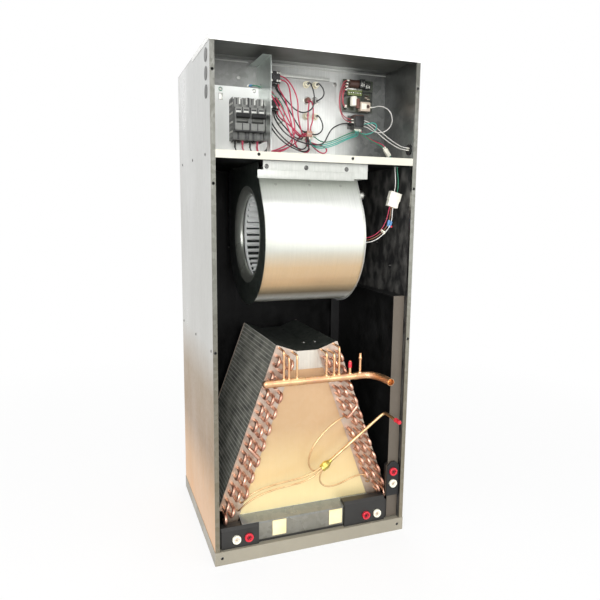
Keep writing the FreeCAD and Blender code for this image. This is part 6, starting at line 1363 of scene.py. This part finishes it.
tie = [(0.0, 8.4), (0.0, 9.6), (3.4, 9.6), (3.4, 8.4), (0.0, 8.4)]
ringEnd = [(0.0, 5.4), (0.9, 5.4), (0.9, 2.0), (0.0, 2.0), (0.0, 5.4)]
capacitorEnd = [(0.0, 14.0), (0.5, 15.0), (11.0, 15.0), (14.0, 13.6), (16.0, 11.0), (16.6, 8.0), (15.8, 7.4),
                (15.8, 0.0)]
leadPieces = {
    # Plug housings with ribs and a latch, each turned with its leads
    "leadPlugs": {"replaces": ["motor_plugs"], "slot": "plug_white", "groups": [
        {"places": [(278, -140, 1215)], "turn": ("Y", -35.0), "blocks": [
            ((-6, -5, -13), (6, 5, 13), 0.8, "plugCream"),
            *(((x - 1.4, -5.7, -11), (x + 1.4, -4.9, 11), 0.2, "plugCream") for x in (-3.2, 3.2))]},
        {"places": [(270, -205, 1068)], "turn": ("Y", 16.0), "blocks": [
            ((-19, -9, -2), (19, 9, 23), 1.2, "plugCream"),
            ((-17.5, -8, -23), (17.5, 8, -2), 1.0, "plugCream"),
            ((-6, -12.0, -6), (6, -9.0, 8), 0.8, "plugCream"),
            *(((x - 4.4, -9.6, 2), (x + 4.4, -8.6, 22), 0.4, "plugCream") for x in (-11.5, 0.0, 11.5)),
            *(((x - 3.6, -8.6, -22), (x + 3.6, -7.6, -4), 0.4, "plugCream") for x in (-11.5, 0.0, 11.5))]}]},
    # Crimp sleeves and a tie along the motor's leads
    "leadSleeves": {"groups": [
        {"blocks": [((233, -216, 968), (238.5, -211.5, 973), 0.6, "drainWhite")],
         "turns": [((257, -206, 1006), (-0.25, 0.0, -1.0), crimp(4.0, 20), 14, "crimpBlue"),
                   ((262, -211, 1002), (-0.3, 0.1, -1.0), crimp(4.0, 20), 14, "crimpBlue"),
                   ((268, -204, 985), (-0.9, 0.0, 0.35), crimp(3.6, 18), 14, "crimpRed"),
                   ((238.6, -203.6, 971), (-0.8, 0.15, -0.6), tie, 18, "drainWhite")]}]},
    # Sleeves where wires meet their terminals, and the ring end of the ground wire
    "wireEnds": {"groups": [
        {"turns": sleeveRows()},
        {"places": [(-150, 0, 1397)], "turns": [
            ((0, -57.0, 0), forward, ringEnd, 16, "lugMetal"),
            ((0, -58.0, 0), forward, [(0.0, 4.2), (3.0, 4.2)], 6, "lugMetal"),
            ((0, -64.0, 0), (0.5, -0.85, 0.0), [(0.0, 2.2), (1.0, 3.2), (11.0, 3.0), (13.0, 1.8)], 12,
             "crimpBlue")]}]},
    # Only its rounded end stands past the housing
    "runCapacitor": {"replaces": ["run_capacitor"], "slot": "lug_metal", "groups": [
        {"places": [(0, -190, 1079)],
         "blocks": [((171, y - 2, -0.4), (177, y + 2, 0.4), 0.0, "lugMetal") for y in (-4, 4)],
         "turns": [((156, 0, 0), rightward, capacitorEnd, 32, "lugMetal")]}]},
}
makePieces(leadPieces)
print("leads")

drainCup = [(3.4, 0.0), (3.4, 7.6), (0.8, 8.2), (0.0, 9.2), (0.0, 11.8), (0.9, 13.0), (7.4, 13.0)]
drains = {
    "redDrainPlugs": ("red_drain_plugs", "cap_red", "capRed", "plugDark",
                      [(-207, 69), (180, 69), (273.5, 203)]),
    "whiteDrainPlugs": ("white_drain_plugs", "drain_white", "drainWhite", "beige",
                        [(-245, 69), (219, 69), (273.5, 163)]),
}
sheetPieces = {
    # Folded lip of the housing's outlet over the bracket, and lips along the top of the back wall
    "outletFlange": {"groups": [{"blocks": [
        ((-176, -243.6, 1120), (116, -241.4, 1142), 0.8, "bracketZinc"),
        ((-176, -246.2, 1118.6), (116, -241.8, 1120.6), 0.8, "bracketZinc")]}]},
    "wallLips": {"groups": [{"blocks": [
        ((-123.4, -66, 1432.2), (108, -57.7, 1441), 0.8, "bracketZinc"),
        ((-308, -59.5, 1463), (-152, -56.6, 1466), 0.6, "bracketZinc"),
        ((-123, -59.5, 1463), (308, -56.6, 1466), 0.6, "bracketZinc")]}]},
    # The rail's shelf carried on to both slabs, so that the trough is covered
    "dripShelf": {"slot": "galvanised", "groups": [
        {"places": [(middle, -228.6, 111.6)], "turn": ("X", 12.0),
         "blocks": [((-half, -21.8, -0.5), (half, 21.8, 0.5), 0.3, "railZinc")]}
        for middle, half in ((-200.2, 25.8), (154.7, 51.3))]},
}
# Plugs, with three crossed bars at the bottom of each socket
for name, (node, slot, outside, inside, places) in drains.items():
    cups = [{"places": [(x, -264.5, z) for x, z in places],
             "turns": [((0, 0, 0), backward, drainCup, 28, outside)]}]
    bars = [{"places": [(x, -261.6, z) for x, z in places], "turn": ("Y", degrees),
             "blocks": [((-7.4, -1.0, -1.3), (7.4, 1.0, 1.3), 0.3, inside)]}
            for degrees in (0.0, 60.0, 120.0)]
    sheetPieces[name] = {"replaces": [node], "slot": slot, "groups": cups + bars}
makePieces(sheetPieces)


pads = {"places": ((-110, -252, 80), (76, -252, 80)), "half": (22, 1.5, 24), "soft": 1.2}


def foamPads():
    for k, place in enumerate(pads["places"]):
        shape = bmesh.new()
        low, high = Vector(place) - Vector(pads["half"]), Vector(place) + Vector(pads["half"])
        addBlock(shape, low, high, pads["soft"])
        pad = keepShape(shape, f"foamPad{k + 1}", ["foam"], cabinet, ["foam_pads"])


foamPads()
print("lips, drain plugs and pads")

# Floor, light and background

lamps = [
    {"name": "keyLamp", "place": (-0.7, -3.7, 1.9), "size": 1.8, "power": 75.0},
    {"name": "leftLamp", "place": (-1.9, -3.1, 1.1), "size": 1.4, "power": 50.0},
    {"name": "fillLamp", "place": (1.9, -3.0, 1.1), "size": 2.2, "power": 30.0},
    {"name": "sideLamp", "place": (-3.4, -0.6, 1.6), "size": 2.2, "power": 24.0},
    {"name": "topLamp", "place": (0.0, -0.4, 3.4), "size": 2.6, "power": 30.0},
    {"name": "rearLamp", "place": (0.6, 3.2, 2.2), "size": 2.4, "power": 38.0},
]
aimedAt = Vector((0.0, 0.0, 0.75))
white = (1.0, 1.0, 1.0, 1.0)


def seenRays(tree):
    # 1 for rays from the camera and for what metal and glass show
    path = addNode(tree, "ShaderNodeLightPath").outputs
    some = mathOf(tree, "MAXIMUM", path["Is Camera Ray"], path["Is Glossy Ray"])
    return mathOf(tree, "MAXIMUM", some, path["Is Transmission Ray"])


def plainStage():
    size = 9.0
    mesh = bpy.data.meshes.new("floor")
    corners = [(-size, -size, 0), (size, -size, 0), (size, size, 0), (-size, size, 0)]
    mesh.from_pydata(corners, [], [(0, 1, 2, 3)])
    finish, tree, shader = newFinish("floorPaper", (0.86, 0.86, 0.86), 0.0, 0.8)
    glow = addNode(tree, "ShaderNodeEmission", {"Color": white, "Strength": 1.0}).outputs[0]
    far = addNode(tree, "ShaderNodeVectorMath", {0: objectPlace(tree)}, operation="LENGTH").outputs["Value"]
    share = mathOf(tree, "MULTIPLY", spanOf(tree, far, 0.8, 1.0, 0.7, 2.4), seenRays(tree))
    mixed = addNode(tree, "ShaderNodeMixShader", {0: share, 1: shader.outputs[0], 2: glow}).outputs[0]
    tree.links.new(mixed, tree.nodes["Material Output"].inputs["Surface"])
    mesh.materials.append(finish)
    floor = linked("floor", mesh)


def lightUp():
    for lamp in lamps:
        light = bpy.data.lights.new(lamp["name"], "AREA")
        light.size = lamp["size"]
        light.energy = lamp["power"]
        thing = linked(lamp["name"], light)
        thing.location = lamp["place"]
        thing.rotation_euler = (aimedAt - Vector(lamp["place"])).to_track_quat("-Z", "Y").to_euler()
    scene.world = bpy.data.worlds.new("studio")
    scene.world.use_nodes = True
    tree = scene.world.node_tree
    ground = tree.nodes["Background"]
    ground.inputs["Color"].default_value = white
    tree.links.new(spanOf(tree, seenRays(tree), 0.4, 1.0, 0.0, 1.0), ground.inputs["Strength"])


plainStage()
lightUp()
scene.view_settings.view_transform = "Standard"
print("stage and light")
